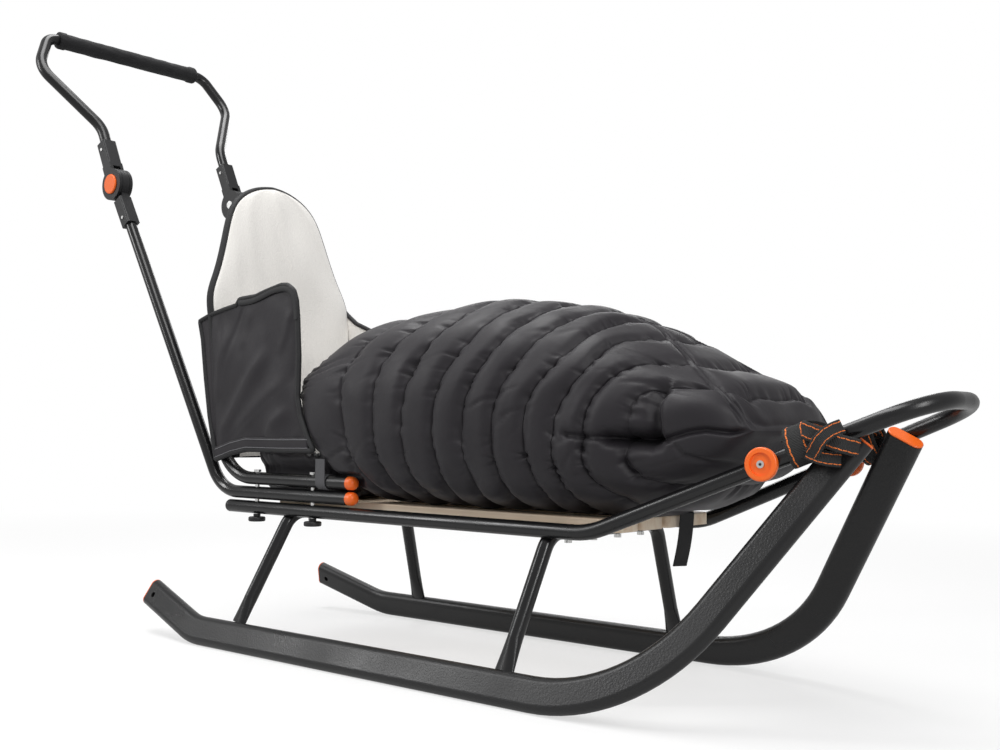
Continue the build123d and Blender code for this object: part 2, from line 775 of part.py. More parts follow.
pieces = {
    "runner_right": [runner_right],
    "runner_left": [other_side(runner_right)],
    "runner_rear_plugs": [rear_plug, other_side(rear_plug)],
    "runner_front_plugs": [front_plug, other_side(front_plug)],
    "rear_bow": [bows["rear_bow"]],
    "front_bow": [bows["front_bow"]],
    "seat_rail_hoop": [rail_hoop],
    "rail_end_caps": [rail_cap, other_side(rail_cap)],
    "seat_slats": slats,
    "slat_screws": screws,
    "slat_nuts": nuts,
    "pusher_tube_right": [pusher_right],
    "pusher_tube_left": [other_side(pusher_right)],
    "pusher_end_domes": [pusher_dome, other_side(pusher_dome)],
    "backrest_frame": [backrest_frame],
    "backrest_end_domes": [back_dome, other_side(back_dome)],
    "clamp_bolts": bolts,
    "clamp_knobs": knobs,
    "lower_bracket_right": [lower_bracket],
    "lower_bracket_left": [other_side(lower_bracket)],
    "lower_bracket_rivets": lower_rivets + [other_side(r) for r in lower_rivets],
    "pivot_pins": [pivot_pin, other_side(pivot_pin)],
    "upper_bracket_right": [upper_bracket],
    "upper_bracket_left": [other_side(upper_bracket)],
    "upper_bracket_rivets": upper_rivets + [other_side(r) for r in upper_rivets],
    "hub_buttons": [button, other_side(button)],
    "handle_tube": [handle_tube],
    "handle_grip": [grip],
    "anchor_discs": [disc, other_side(disc)],
    "anchor_screws": [disc_screw, other_side(disc_screw)],
    "tow_strap": [tow_strap],
    "tow_strap_knot": [knot],
    "hanging_strap": [hanging_strap],
    "liner_back_panel": [back_panel],
    "liner_wing_right": [wing_right],
    "liner_wing_left": [wing_left],
    "liner_seat_pad": [seat_pad],
    "liner_loops": [loop, other_side(loop)],
    "footmuff": [footmuff],
}

# The middle of the footprint becomes the origin
rear_most = grip_x - grip_collar_r
front_most = hoop_tip_x + tube_r
shift = Location((-(rear_most + front_most) / 2, 0, 0))
print("datum shift", round(-(rear_most + front_most) / 2, 3))
for name, shapes in pieces.items():
    solids = [shift * solid for shape in shapes for solid in shape.solids()]
    node = solids[0] if len(solids) == 1 else Compound(children=solids)
    node.label = name
    export_step(node, os.path.join(out_dir, name + ".step"))
    print(name, len(solids), round(sum(s.volume for s in solids)))
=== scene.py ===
# %% [markdown]
# # A child sled, dressed for a photograph
# The metal and wooden parts come from the CAD model, so this lesson only gives them their finishes.
# Everything soft is made here: the quilted footmuff, the hood, the side wings, the seat pad and the
# webbing. Each cell makes one thing, and says what it is on the real sled and why it is made so.

# %% Load the frame
import json
import math

import bpy
import numpy as np
from mathutils import Matrix, Vector


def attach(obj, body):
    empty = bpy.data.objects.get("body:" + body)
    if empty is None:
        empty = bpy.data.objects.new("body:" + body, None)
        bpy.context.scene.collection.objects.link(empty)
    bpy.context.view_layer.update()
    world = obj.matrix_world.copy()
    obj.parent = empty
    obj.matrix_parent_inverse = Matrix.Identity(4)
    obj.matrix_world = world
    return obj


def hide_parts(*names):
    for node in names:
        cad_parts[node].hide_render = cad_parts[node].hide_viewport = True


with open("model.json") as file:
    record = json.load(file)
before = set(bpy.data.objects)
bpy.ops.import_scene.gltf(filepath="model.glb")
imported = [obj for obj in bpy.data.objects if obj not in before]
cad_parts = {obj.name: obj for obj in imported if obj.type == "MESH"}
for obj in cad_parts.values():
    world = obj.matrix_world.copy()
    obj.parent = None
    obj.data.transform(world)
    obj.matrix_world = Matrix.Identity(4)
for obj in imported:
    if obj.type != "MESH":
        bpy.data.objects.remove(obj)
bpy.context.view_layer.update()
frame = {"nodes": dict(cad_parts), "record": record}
nodes = frame["nodes"]
print("frame nodes:", len(nodes))

# %% [markdown]
# ## Where things are
# The CAD source counts its stations from a point behind the rear legs, but the finished model has
# its origin in the middle of the footprint. One number joins the two, so every table below can use
# the stations of the CAD source.

# %% Shift of the stations
STATION_SHIFT = -0.195


def placed(points):
    """Points whose first number is a CAD station, moved into the model's frame."""
    out = np.array(points, dtype=float)
    out[..., 0] += STATION_SHIFT
    return out


print("stations move by", STATION_SHIFT, "m")

# %% [markdown]
# ## Curves from short tables
# A sewn thing has few places that matter, such as the width at the knees. We write those in a table
# and let a natural cubic spline pass through them: it bends as little as it can, as cloth does.

# %% A spline through a table
def spline(at, values, x):
    """Natural cubic spline: its second slopes m solve h0*m0 + 2(h0+h1)*m1 + h1*m2 = 6*(change of slope)."""
    at = np.asarray(at, dtype=float)
    values = np.asarray(values, dtype=float)
    h = np.diff(at)
    slope = np.diff(values, axis=0) / h.reshape((-1,) + (1,) * (values.ndim - 1))
    count = len(at)
    system = np.eye(count)
    inner = np.arange(1, count - 1)
    system[inner, inner - 1] = h[:-1]
    system[inner, inner] = 2 * (h[:-1] + h[1:])
    system[inner, inner + 1] = h[1:]
    right = np.zeros(values.shape)
    right[1:-1] = 6 * np.diff(slope, axis=0)
    m = np.linalg.solve(system, right.reshape(count, -1)).reshape(values.shape)
    x = np.asarray(x, dtype=float)
    i = np.clip(np.searchsorted(at, x) - 1, 0, count - 2)
    extra = (1,) * (values.ndim - 1)
    t = (x - at[i]).reshape(x.shape + extra)
    hh = h[i].reshape(x.shape + extra)
    first = slope[i] - hh * (2 * m[i] + m[i + 1]) / 6
    return values[i] + t * first + t**2 * m[i] / 2 + t**3 * (m[i + 1] - m[i]) / (6 * hh)


def ease(x, low, high):
    """Smooth step from 0 at low to 1 at high: 3t^2 - 2t^3."""
    t = np.clip((x - low) / (high - low), 0, 1)
    return t * t * (3 - 2 * t)


def ripple(a, b, seed, waves=22, low=1.0, high=5.0):
    """Sum of sine waves with random headings and phases, so cloth is uneven but always the same."""
    rng = np.random.RandomState(seed)
    size = rng.uniform(low, high, waves)
    heading = rng.uniform(0, 2 * math.pi, waves)
    phase = rng.uniform(0, 2 * math.pi, waves)
    total = np.zeros(np.broadcast(a, b).shape)
    for k in range(waves):
        total += np.sin(size[k] * (a * np.cos(heading[k]) + b * np.sin(heading[k])) + phase[k])
    return total / math.sqrt(waves / 2)


print("spline, ease and ripple ready")

# %% [markdown]
# ## From a grid of points to a mesh
# A grid of points is the simplest surface: rows and columns, with a face in each square. The same
# helper closes the grid round on itself for tubes and bags, and keeps each point's own row and
# column as UV, so a pattern can follow the cloth.

# %% Grid mesh
def grid_faces(rows, cols, wrap):
    """Corner numbers of the squares of a grid: r*cols + c and its three neighbours."""
    r = np.arange(rows - 1)[:, None]
    c = np.arange(cols if wrap else cols - 1)[None, :]
    n = (c + 1) % cols
    square = np.stack([r * cols + c + 0 * n, r * cols + n, (r + 1) * cols + n, (r + 1) * cols + c], -1)
    return square.reshape(-1, 4)


def mesh_piece(name, points, faces, uv=None):
    """A smooth-shaded object at the origin from an array of points and a list of faces."""
    mesh = bpy.data.meshes.new(name)
    mesh.from_pydata(np.asarray(points).reshape(-1, 3).tolist(), [], [list(map(int, f)) for f in faces])
    mesh.polygons.foreach_set("use_smooth", np.full(len(mesh.polygons), True))
    if uv is not None:
        layer = mesh.uv_layers.new(name="cloth")
        corner = np.zeros(len(mesh.loops), dtype=np.int32)
        mesh.loops.foreach_get("vertex_index", corner)
        layer.data.foreach_set("uv", np.asarray(uv).reshape(-1, 2)[corner].ravel().astype(np.float32))
    mesh.update()
    made = bpy.data.objects.new(name, mesh)
    bpy.context.scene.collection.objects.link(made)
    return made


def grid_piece(name, points, wrap=False, uv=None, flip=False, caps=False):
    """A grid of points (rows, columns, 3) as a piece.

    wrap joins the last column to the first, flip turns the faces over, and caps closes both ends.
    """
    rows, cols = points.shape[:2]
    faces = grid_faces(rows, cols, wrap)
    if flip:
        faces = faces[:, ::-1]
    faces = faces.tolist()
    if caps:
        first = list(range(cols))
        last = [(rows - 1) * cols + i for i in range(cols)]
        faces += [first if flip else first[::-1], last[::-1] if flip else last]
    return mesh_piece(name, points, faces, uv)


def unit(vectors):
    """Vectors divided by their lengths."""
    return vectors / np.maximum(np.linalg.norm(vectors, axis=-1, keepdims=True), 1e-9)


def outward_normals(points, row):
    """Normals of a grid that closes on itself: cross product of its row step and its column step.

    They are turned so that in the given row they point away from the middle plane.
    """
    along = np.gradient(points, axis=0)
    across = (np.roll(points, -1, axis=1) - np.roll(points, 1, axis=1)) / 2
    normals = unit(np.cross(across, along))
    inward = np.sum(normals[row, :, 1] * points[row, :, 1]) < 0
    return -normals if inward else normals


print("grid helpers ready")

# %% [markdown]
# ## A profile carried along a path
# Piping, binding and webbing are one small section carried along a line. At each point of the line
# we need three directions: forward, across and up. Forward is the slope of the line; across comes
# from a direction that we give, made square to forward. Lengths along the line become UV, so that
# stitches keep their pitch on a long strap and on a short one.

# %% Sweep
UV_PER_METRE = 10
POINTS_PER_STITCH = 6
THREAD_RADIUS = 0.00055
THREAD_DIVE = 0.0016
THREAD_SHOWN = 2.2


def distances_along(path):
    """How far along a polyline each of its points lies, from 0 at its start."""
    return np.concatenate([[0], np.cumsum(np.linalg.norm(np.diff(path, axis=0), axis=1))])


def resample(path, count):
    """Points at equal steps along a polyline."""
    path = np.asarray(path, dtype=float)
    reach = distances_along(path)
    want = np.linspace(0, reach[-1], count)
    return np.stack([np.interp(want, reach, path[:, k]) for k in range(3)], -1)


def smooth_path(points, count):
    """A spline through a few points, cut into equal steps."""
    points = np.asarray(points, dtype=float)
    reach = distances_along(points)
    dense = spline(reach, points, np.linspace(0, reach[-1], count * 4))
    return resample(dense, count)


def carried(path, across, section_across, section_up):
    """A section carried along a path: its points are given by how far across and how far up they lie."""
    forward = unit(np.gradient(path, axis=0))
    side = unit(across - forward * np.sum(across * forward, -1, keepdims=True))
    up = np.cross(side, forward)
    return (
        path[:, None]
        + side[:, None] * section_across[None, :, None]
        + up[:, None] * section_up[None, :, None]
    )


def strip_uv(share_across, path):
    """UV of a strip: 0 to 1 across it, and its length times UV_PER_METRE along it."""
    reach = distances_along(path)[:, None] * UV_PER_METRE
    return np.stack(np.broadcast_arrays(share_across[None, :], reach), -1)


def sweep(name, path, across, section, caps=True):
    """Carries a closed section (columns across, up) along a path, kept square to it."""
    across = np.broadcast_to(np.asarray(across, dtype=float), path.shape)
    grid = carried(path, across, section[:, 0], section[:, 1])
    uv = strip_uv(np.linspace(0, 1, len(section)), path)
    return grid_piece(name, grid, wrap=True, uv=uv, caps=caps)


def round_section(radius, sides=12, squash=1.0):
    """Points of a circle, or of an ellipse lower than it is wide."""
    t = np.arange(sides) / sides * 2 * math.pi
    return np.stack([radius * np.cos(t), radius * squash * np.sin(t)], -1)


def stitches(name, line, pitch):
    """A row of thread stitches: a thin tube that dives under the cloth between stitches."""
    count = int(distances_along(line)[-1] / pitch) * POINTS_PER_STITCH + 1
    path = resample(line, count)
    beat = np.abs(np.sin(np.arange(count) * math.pi / POINTS_PER_STITCH))
    dive = np.clip(beat * THREAD_SHOWN, 0, 1) - 1
    path[:, 1] += np.sign(path[:, 1]) * THREAD_DIVE * dive
    return sweep(name, placed(path), (0, 0, 1), round_section(THREAD_RADIUS, 6))


def nearest_on(points, line):
    """The place on a polyline that is nearest to each point.

    A point's share of a stretch is (its offset . run) / (run . run), held between 0 and 1. Gives the
    gap from the place to the point, the gap's length, how far along the line the place is (0 to 1),
    and whether the point is on the left of the line, judged by the first two numbers.
    """
    line = np.asarray(line, dtype=float)
    best = np.full(points.shape[:-1], np.inf)
    away = np.zeros(points.shape)
    along = np.zeros(points.shape[:-1])
    left = np.zeros(points.shape[:-1], dtype=bool)
    for number, (start, end) in enumerate(zip(line, line[1:])):
        run = end - start
        share = np.clip(((points - start) @ run) / (run @ run), 0, 1)
        gap = points - start - share[..., None] * run
        size = np.linalg.norm(gap, axis=-1)
        turn = run[0] * gap[..., 1] - run[1] * gap[..., 0]
        closer = size < best
        best = np.where(closer, size, best)
        away = np.where(closer[..., None], gap, away)
        along = np.where(closer, (number + share) / (len(line) - 1), along)
        left = np.where(closer, turn > 0, left)
    return away, best, along, left


def bell(distance, width):
    """exp(-(distance/width)^2): one on the spot, nearly nothing two widths away."""
    return np.exp(-((distance / width) ** 2))


print("sweep, stitches and distances ready")

# %% [markdown]
# ## Camera, floor and light
# The photograph was taken from low down, a little in front of the sled's right side, in a white
# studio. The lens and the place of the camera were worked out from the sled's own known sizes. The
# floor glows only towards the camera, so that it looks white while the sled still gets calm light.

# %% Camera
VIEW_YAW, VIEW_PITCH, VIEW_ROLL = (math.radians(a) for a in (40.60, 2.37, 0.49))
CAMERA_AT = (1.188, -1.214, 0.309)
PHOTO_WIDTH = 1000
FOCAL_PIXELS = 1217.6
level = math.cos(VIEW_PITCH)
forward = Vector((-math.sin(VIEW_YAW) * level, math.cos(VIEW_YAW) * level, math.sin(VIEW_PITCH)))
right = Vector((math.cos(VIEW_YAW), math.sin(VIEW_YAW), 0))
above = right.cross(forward)
right, above = (
    math.cos(VIEW_ROLL) * right + math.sin(VIEW_ROLL) * above,
    -math.sin(VIEW_ROLL) * right + math.cos(VIEW_ROLL) * above,
)
lens = bpy.data.cameras.new("photo_camera")
lens.sensor_width = 36.0
lens.lens = FOCAL_PIXELS * lens.sensor_width / PHOTO_WIDTH
camera = bpy.data.objects.new("photo_camera", lens)
turn = Matrix((right, above, -forward)).transposed().to_4x4()
camera.matrix_world = Matrix.Translation(CAMERA_AT) @ turn
bpy.context.scene.collection.objects.link(camera)
bpy.context.scene.camera = camera
bpy.context.scene.view_settings.view_transform = "Standard"
print("lens", round(lens.lens, 2), "mm")

# %% [markdown]
# ## Floor and world
# A studio photograph of a dark object has a pale floor that runs into a pale wall. A curved
# backdrop would do it, but a flat floor that slowly turns into a white glow away from the object
# keeps the shadow and hides the horizon. Light Path tells the material which rays come from the
# camera, so the white is seen without adding more light to the object.


# %% Floor and world
def add_node(tree, kind, **values):
    """Adds a shader node and sets its properties and inputs by name."""
    node = tree.nodes.new(kind)
    for key, value in values.items():
        if key in node.inputs:
            node.inputs[key].default_value = value
        else:
            setattr(node, key, value)
    return node


GLOSSY_SHARE = 0.34
WORLD_LIGHT = 0.34
FLOOR_LIGHT = 0.4
FLOOR_HALF = 30
FLOOR_FADE = (0.7, 3.0)
FLOOR_GLOW = (0.62, 1.0)


def white_for_camera(tree, seen, lit):
    """A strength: one value for camera and glass rays, another for the rest, and glossy rays between."""
    path = add_node(tree, "ShaderNodeLightPath")
    most = add_node(tree, "ShaderNodeMath", operation="MAXIMUM")
    both = add_node(tree, "ShaderNodeMath", operation="MAXIMUM")
    tree.links.new(path.outputs["Is Camera Ray"], most.inputs[0])
    tree.links.new(path.outputs["Is Transmission Ray"], most.inputs[1])
    glossy = add_node(tree, "ShaderNodeMath", operation="MULTIPLY")
    tree.links.new(path.outputs["Is Glossy Ray"], glossy.inputs[0])
    glossy.inputs[1].default_value = GLOSSY_SHARE
    tree.links.new(most.outputs[0], both.inputs[0])
    tree.links.new(glossy.outputs[0], both.inputs[1])
    level = add_node(tree, "ShaderNodeMapRange")
    level.inputs["To Min"].default_value = lit
    level.inputs["To Max"].default_value = seen
    tree.links.new(both.outputs[0], level.inputs["Value"])
    return level.outputs["Result"]


world = bpy.data.worlds.new("studio")
bpy.context.scene.world = world
world.use_nodes = True
background = world.node_tree.nodes["Background"]
background.inputs["Color"].default_value = (1, 1, 1, 1)
white = white_for_camera(world.node_tree, 1.0, WORLD_LIGHT)
world.node_tree.links.new(white, background.inputs["Strength"])

floor_mesh = bpy.data.meshes.new("studio_floor")
corners = [(x * FLOOR_HALF, y * FLOOR_HALF, 0) for x, y in ((-1, -1), (1, -1), (1, 1), (-1, 1))]
floor_mesh.from_pydata(corners, [], [(0, 1, 2, 3)])
floor = bpy.data.objects.new("studio_floor", floor_mesh)
bpy.context.scene.collection.objects.link(floor)
floor_look = bpy.data.materials.new("studio_floor")
floor_look.use_nodes = True
tree = floor_look.node_tree
tree.nodes.clear()
place = add_node(tree, "ShaderNodeTexCoord")
distance = add_node(tree, "ShaderNodeVectorMath", operation="LENGTH")
tree.links.new(place.outputs["Object"], distance.inputs[0])
fade = add_node(tree, "ShaderNodeMapRange", interpolation_type="SMOOTHSTEP")
fade.inputs["From Min"].default_value, fade.inputs["From Max"].default_value = FLOOR_FADE
fade.inputs["To Min"].default_value, fade.inputs["To Max"].default_value = FLOOR_GLOW
tree.links.new(distance.outputs["Value"], fade.inputs["Value"])
matt = add_node(tree, "ShaderNodeBsdfDiffuse", Color=(0.9, 0.9, 0.9, 1))
glow = add_node(tree, "ShaderNodeEmission", Color=(1, 1, 1, 1))
tree.links.new(white_for_camera(tree, 1.0, FLOOR_LIGHT), glow.inputs["Strength"])
mix = add_node(tree, "ShaderNodeMixShader")
tree.links.new(fade.outputs["Result"], mix.inputs[0])
tree.links.new(matt.outputs[0], mix.inputs[1])
tree.links.new(glow.outputs[0], mix.inputs[2])
out = add_node(tree, "ShaderNodeOutputMaterial")
tree.links.new(mix.outputs[0], out.inputs["Surface"])
floor_mesh.materials.append(floor_look)

# %% [markdown]
# ## Soft boxes
# Dark paint and dark cloth show mostly what they mirror, so long narrow lamps matter more here
# than bright ones: each draws one clean streak along a tube and a soft gleam on the quilts. A
# small lamp would give hard spots, and a sky picture would be a file that the script can't read.


# %% Soft boxes
def soft_box(name, place, aim, size, watts):
    """A rectangular lamp that faces a point."""
    lamp = bpy.data.lights.new(name, "AREA")
    lamp.shape = "RECTANGLE"
    lamp.size, lamp.size_y = size
    lamp.energy = watts
    holder = bpy.data.objects.new(name, lamp)
    look = Vector(aim) - Vector(place)
    holder.matrix_world = Matrix.Translation(place) @ look.to_track_quat("-Z", "Y").to_matrix().to_4x4()
    bpy.context.scene.collection.objects.link(holder)


soft_box("top_light", (-0.3, -0.3, 2.4), (0, 0, 0.3), (2.8, 0.9), 48)
soft_box("left_light", (-2.2, -2.2, 1.9), (-0.1, 0, 0.35), (0.5, 1.8), 36)
soft_box("right_light", (2.4, -0.9, 1.4), (0.1, 0, 0.3), (0.5, 1.6), 27)
soft_box("rear_light", (-1.2, 2.2, 1.6), (0, 0, 0.4), (1.8, 0.5), 12)
print("four soft boxes")

# %% [markdown]
# ## A shared effect
# All finishes need the same small unevenness: paint has a fine grain, cloth has crinkles, and
# nothing is equally shiny all over. The effect is one node group that gives out a height and a
# blotchy mask, and every material uses it with its own numbers. Copying the same nodes into
# thirteen materials would also work, but then a change has to be made thirteen times.


# %% A group for the grain
def effect_group(name, inputs, outputs):
    """An empty shader group with number inputs and number outputs."""
    group = bpy.data.node_groups.new(name, "ShaderNodeTree")
    for label, value in inputs:
        socket = group.interface.new_socket(label, in_out="INPUT", socket_type="NodeSocketFloat")
        socket.default_value = value
    for label in outputs:
        group.interface.new_socket(label, in_out="OUTPUT", socket_type="NodeSocketFloat")
    return group, group.nodes.new("NodeGroupInput"), group.nodes.new("NodeGroupOutput")


grain_group, grain_in, grain_out = effect_group(
    "surface_grain", [("Scale", 600.0), ("Blotch Scale", 9.0)], ["Height", "Blotch"])
where = add_node(grain_group, "ShaderNodeTexCoord")
fine = add_node(grain_group, "ShaderNodeTexNoise", Detail=2.0)
blotch = add_node(grain_group, "ShaderNodeTexNoise", Detail=3.0)
grain_group.links.new(where.outputs["Object"], fine.inputs["Vector"])
grain_group.links.new(where.outputs["Object"], blotch.inputs["Vector"])
grain_group.links.new(grain_in.outputs["Scale"], fine.inputs["Scale"])
grain_group.links.new(grain_in.outputs["Blotch Scale"], blotch.inputs["Scale"])
grain_group.links.new(fine.outputs["Fac"], grain_out.inputs["Height"])
grain_group.links.new(blotch.outputs["Fac"], grain_out.inputs["Blotch"])
print("group:", grain_group.name)

# %% [markdown]
# ## One maker of finishes
# Every finish on the sled is a Principled shader with a colour, a roughness that wanders a little
# and a bump from the grain group. A function makes them all, so that a new finish is one line of
# numbers. The numbers that are the same all over stay on the shader's own sockets.


# %% A finish made from the group
GRAIN_DEEP = 0.001
BLOTCH_RANGE = (0.3, 0.7)


def finish(name, colour, rough, grain=600.0, bump=0.05, rough_swing=0.08, blotch=9.0, **shader):
    """A Principled material whose roughness wanders and whose surface has a grain.

    Further named values go to the shader's own sockets, with spaces for the underscores.
    """
    look = bpy.data.materials.new(name)
    look.use_nodes = True
    nt = look.node_tree
    body = nt.nodes["Principled BSDF"]
    body.inputs["Base Color"].default_value = (*colour, 1)
    for key, value in shader.items():
        body.inputs[key.replace("_", " ")].default_value = value
    grain_node = add_node(nt, "ShaderNodeGroup", node_tree=grain_group)
    grain_node.inputs["Scale"].default_value = grain
    grain_node.inputs["Blotch Scale"].default_value = blotch
    range_node = add_node(nt, "ShaderNodeMapRange")
    range_node.inputs["From Min"].default_value = BLOTCH_RANGE[0]
    range_node.inputs["From Max"].default_value = BLOTCH_RANGE[1]
    range_node.inputs["To Min"].default_value = rough - rough_swing
    range_node.inputs["To Max"].default_value = rough + rough_swing
    nt.links.new(grain_node.outputs["Blotch"], range_node.inputs["Value"])
    nt.links.new(range_node.outputs["Result"], body.inputs["Roughness"])
    raised = add_node(nt, "ShaderNodeBump")
    raised.inputs["Strength"].default_value = bump
    raised.inputs["Distance"].default_value = GRAIN_DEEP
    nt.links.new(grain_node.outputs["Height"], raised.inputs["Height"])
    nt.links.new(raised.outputs["Normal"], body.inputs["Normal"])
    return look


# %% [markdown]
# ## Hard finishes
# The frame is powder coated: thin, dark, even paint with a soft shine. The runners have a coarser,
# wrinkled coat that hides scratches. Plastic, zinc and foam differ mostly in how rough they are.

# %% Hard finishes
looks = {
    "black_paint": finish(
        "black_paint", (0.006, 0.006, 0.0065), 0.24, grain=900, bump=0.04, Specular_IOR_Level=0.42),
    "runner_paint": finish(
        "runner_paint", (0.008, 0.008, 0.0085), 0.34, grain=420, bump=0.22, Specular_IOR_Level=0.42),
    "orange_plastic": finish("orange_plastic", (0.92, 0.15, 0.015), 0.34, grain=500, bump=0.03),
    "black_plastic": finish(
        "black_plastic", (0.010, 0.010, 0.011), 0.42, grain=800, bump=0.12, Specular_IOR_Level=0.4),
    "zinc_steel": finish("zinc_steel", (0.72, 0.72, 0.71), 0.30, grain=700, bump=0.05, Metallic=1.0),
    "foam_grip": finish(
        "foam_grip", (0.012, 0.012, 0.013), 0.72, grain=520, bump=0.5, Specular_IOR_Level=0.3),
}
print("hard finishes:", sorted(looks))

# %% [markdown]
# ## Wood
# The slats are planed beech. Its grain is long pale streaks along the board, so we stretch a noise
# pattern along X: coordinates that change slowly along the board and fast across it.

# %% Beech
DARK_STREAK = (0.76, 0.58, 0.41)
PALE_STREAK = (0.89, 0.75, 0.59)
STREAK_SCALE = (3.0, 90.0, 60.0)
beech = finish("beech", PALE_STREAK, 0.5, grain=900, bump=0.06)
tree = beech.node_tree
body = tree.nodes["Principled BSDF"]
where = add_node(tree, "ShaderNodeTexCoord")
stretch = add_node(tree, "ShaderNodeMapping")
stretch.inputs["Scale"].default_value = STREAK_SCALE
streaks = add_node(tree, "ShaderNodeTexNoise", Scale=1.0, Detail=5.0, Distortion=0.6)
shade = add_node(tree, "ShaderNodeValToRGB")
dark_end, pale_end = shade.color_ramp.elements
dark_end.position = 0.32
dark_end.color = (*DARK_STREAK, 1)
pale_end.position = 0.62
pale_end.color = (*PALE_STREAK, 1)
tree.links.new(where.outputs["Object"], stretch.inputs["Vector"])
tree.links.new(stretch.outputs["Vector"], streaks.inputs["Vector"])
tree.links.new(streaks.outputs["Fac"], shade.inputs["Fac"])
tree.links.new(shade.outputs["Color"], body.inputs["Base Color"])
looks["beech"] = beech
print("beech ready")

# %% [markdown]
# ## Cloth
# The footmuff and the outside of the liner are smooth nylon: dark, with a broad soft shine that
# makes the folds readable. The lining is fleece, which is matt and has short soft fibres, so it
# gets sheen and a fuzzy bump and no gloss.

# %% Cloth finishes
looks["black_nylon"] = finish(
    "black_nylon", (0.0135, 0.0115, 0.0145), 0.56, grain=150, bump=0.16, blotch=22.0,
    Sheen_Weight=0.03, Sheen_Roughness=0.45, Specular_IOR_Level=0.33,
)
looks["cream_fleece"] = finish(
    "cream_fleece", (0.90, 0.875, 0.835), 0.93, grain=420, bump=0.55, rough_swing=0.03,
    Sheen_Weight=0.35, Sheen_Roughness=0.6,
)
looks["black_binding"] = finish("black_binding", (0.007, 0.007, 0.008), 0.7, grain=500, bump=0.3)
looks["grey_webbing"] = finish("grey_webbing", (0.075, 0.075, 0.08), 0.7, grain=420, bump=0.4)
looks["grey_thread"] = finish("grey_thread", (0.16, 0.16, 0.17), 0.6, grain=900, bump=0.1)
print("cloth finishes ready")

# %% [markdown]
# ## Webbing with coloured stitching
# The tow strap is woven from thick black threads and has a zigzag of orange thread near each edge.
# The strap's UV says how far across and how far along each point is, so a stitch is where the
# distance from a zigzag line is small, and a fraction of the length along the strap cuts the line
# into single stitches.


# %% Webbing
def maths(nt, operation, a, b=None, c=None):
    """One Math node fed by sockets or numbers; gives its output socket."""
    node = add_node(nt, "ShaderNodeMath", operation=operation)
    for slot, value in enumerate((a, b, c)):
        if value is None:
            continue
        if isinstance(value, (int, float)):
            node.inputs[slot].default_value = value
        else:
            nt.links.new(value, node.inputs[slot])
    return node.outputs[0]


WEBBING_BLACK = (0.012, 0.012, 0.012)
THREAD_ORANGE = (0.86, 0.20, 0.03)
STITCHES_PER_UV = 22.0
ZIGZAG_SWING = 0.03
ZIGZAG_AT = 0.30
THREAD_HALF = 0.028
STITCH_GAP = 0.14
RIBS_PER_UV = 420.0
webbing = finish("black_webbing", WEBBING_BLACK, 0.75, grain=500, bump=0.2)
tree = webbing.node_tree
body = tree.nodes["Principled BSDF"]
where = add_node(tree, "ShaderNodeUVMap", uv_map="cloth")
split = add_node(tree, "ShaderNodeSeparateXYZ")
tree.links.new(where.outputs["UV"], split.inputs[0])
from_middle = maths(tree, "ABSOLUTE", maths(tree, "SUBTRACT", split.outputs["X"], 0.5))
stitch_count = maths(tree, "MULTIPLY", split.outputs["Y"], STITCHES_PER_UV)
zigzag = maths(tree, "PINGPONG", stitch_count, 1.0)
line_at = maths(tree, "MULTIPLY_ADD", zigzag, ZIGZAG_SWING, ZIGZAG_AT)
off_line = maths(tree, "ABSOLUTE", maths(tree, "SUBTRACT", from_middle, line_at))
stitch = maths(tree, "LESS_THAN", off_line, THREAD_HALF)
gaps = maths(tree, "GREATER_THAN", maths(tree, "FRACT", stitch_count), STITCH_GAP)
mask = maths(tree, "MULTIPLY", stitch, gaps)
colour = add_node(tree, "ShaderNodeMix", data_type="RGBA")
colour.inputs["A"].default_value = (*WEBBING_BLACK, 1)
colour.inputs["B"].default_value = (*THREAD_ORANGE, 1)
tree.links.new(mask, colour.inputs["Factor"])
tree.links.new(colour.outputs["Result"], body.inputs["Base Color"])
ribs = maths(tree, "SINE", maths(tree, "MULTIPLY", split.outputs["Y"], RIBS_PER_UV))
height = maths(tree, "MULTIPLY_ADD", mask, 2.0, ribs)
raised = add_node(tree, "ShaderNodeBump")
raised.inputs["Strength"].default_value = 0.5
raised.inputs["Distance"].default_value = 0.0008
tree.links.new(height, raised.inputs["Height"])
tree.links.new(raised.outputs["Normal"], body.inputs["Normal"])
looks["black_webbing"] = webbing
print("webbing ready")

# %% [markdown]
# ## Finishes for the CAD parts
# Each CAD part already knows which finish it has, so we look its finish up by name and put it into
# the part's material slots. The runners are painted like the tubes, but with the coarser coat. The
# meshes of the CAD parts stay as they came.

# %% Dress the CAD parts
slot_of = {row["node"]: row["material_slot"] for row in frame["record"]["subparts"]}
for name, node in nodes.items():
    look = slot_of[name]
    if name.startswith("runner_") and look == "black_paint":
        look = "runner_paint"
    node.data.materials.clear()
    node.data.materials.append(looks[look])
print("dressed", len(nodes), "nodes")

# %% [markdown]
# ## The footmuff's shape
# The footmuff is a stuffed bag that lies on the slats, open towards the seat and sewn shut in front
# like a pillow. Across, it is a rounded box: y = a*cos(t)^(2/n), z = h*sin(t)^(2/n), which is a
# superellipse. Its width, height and roundness change along the sled, and a table gives them.

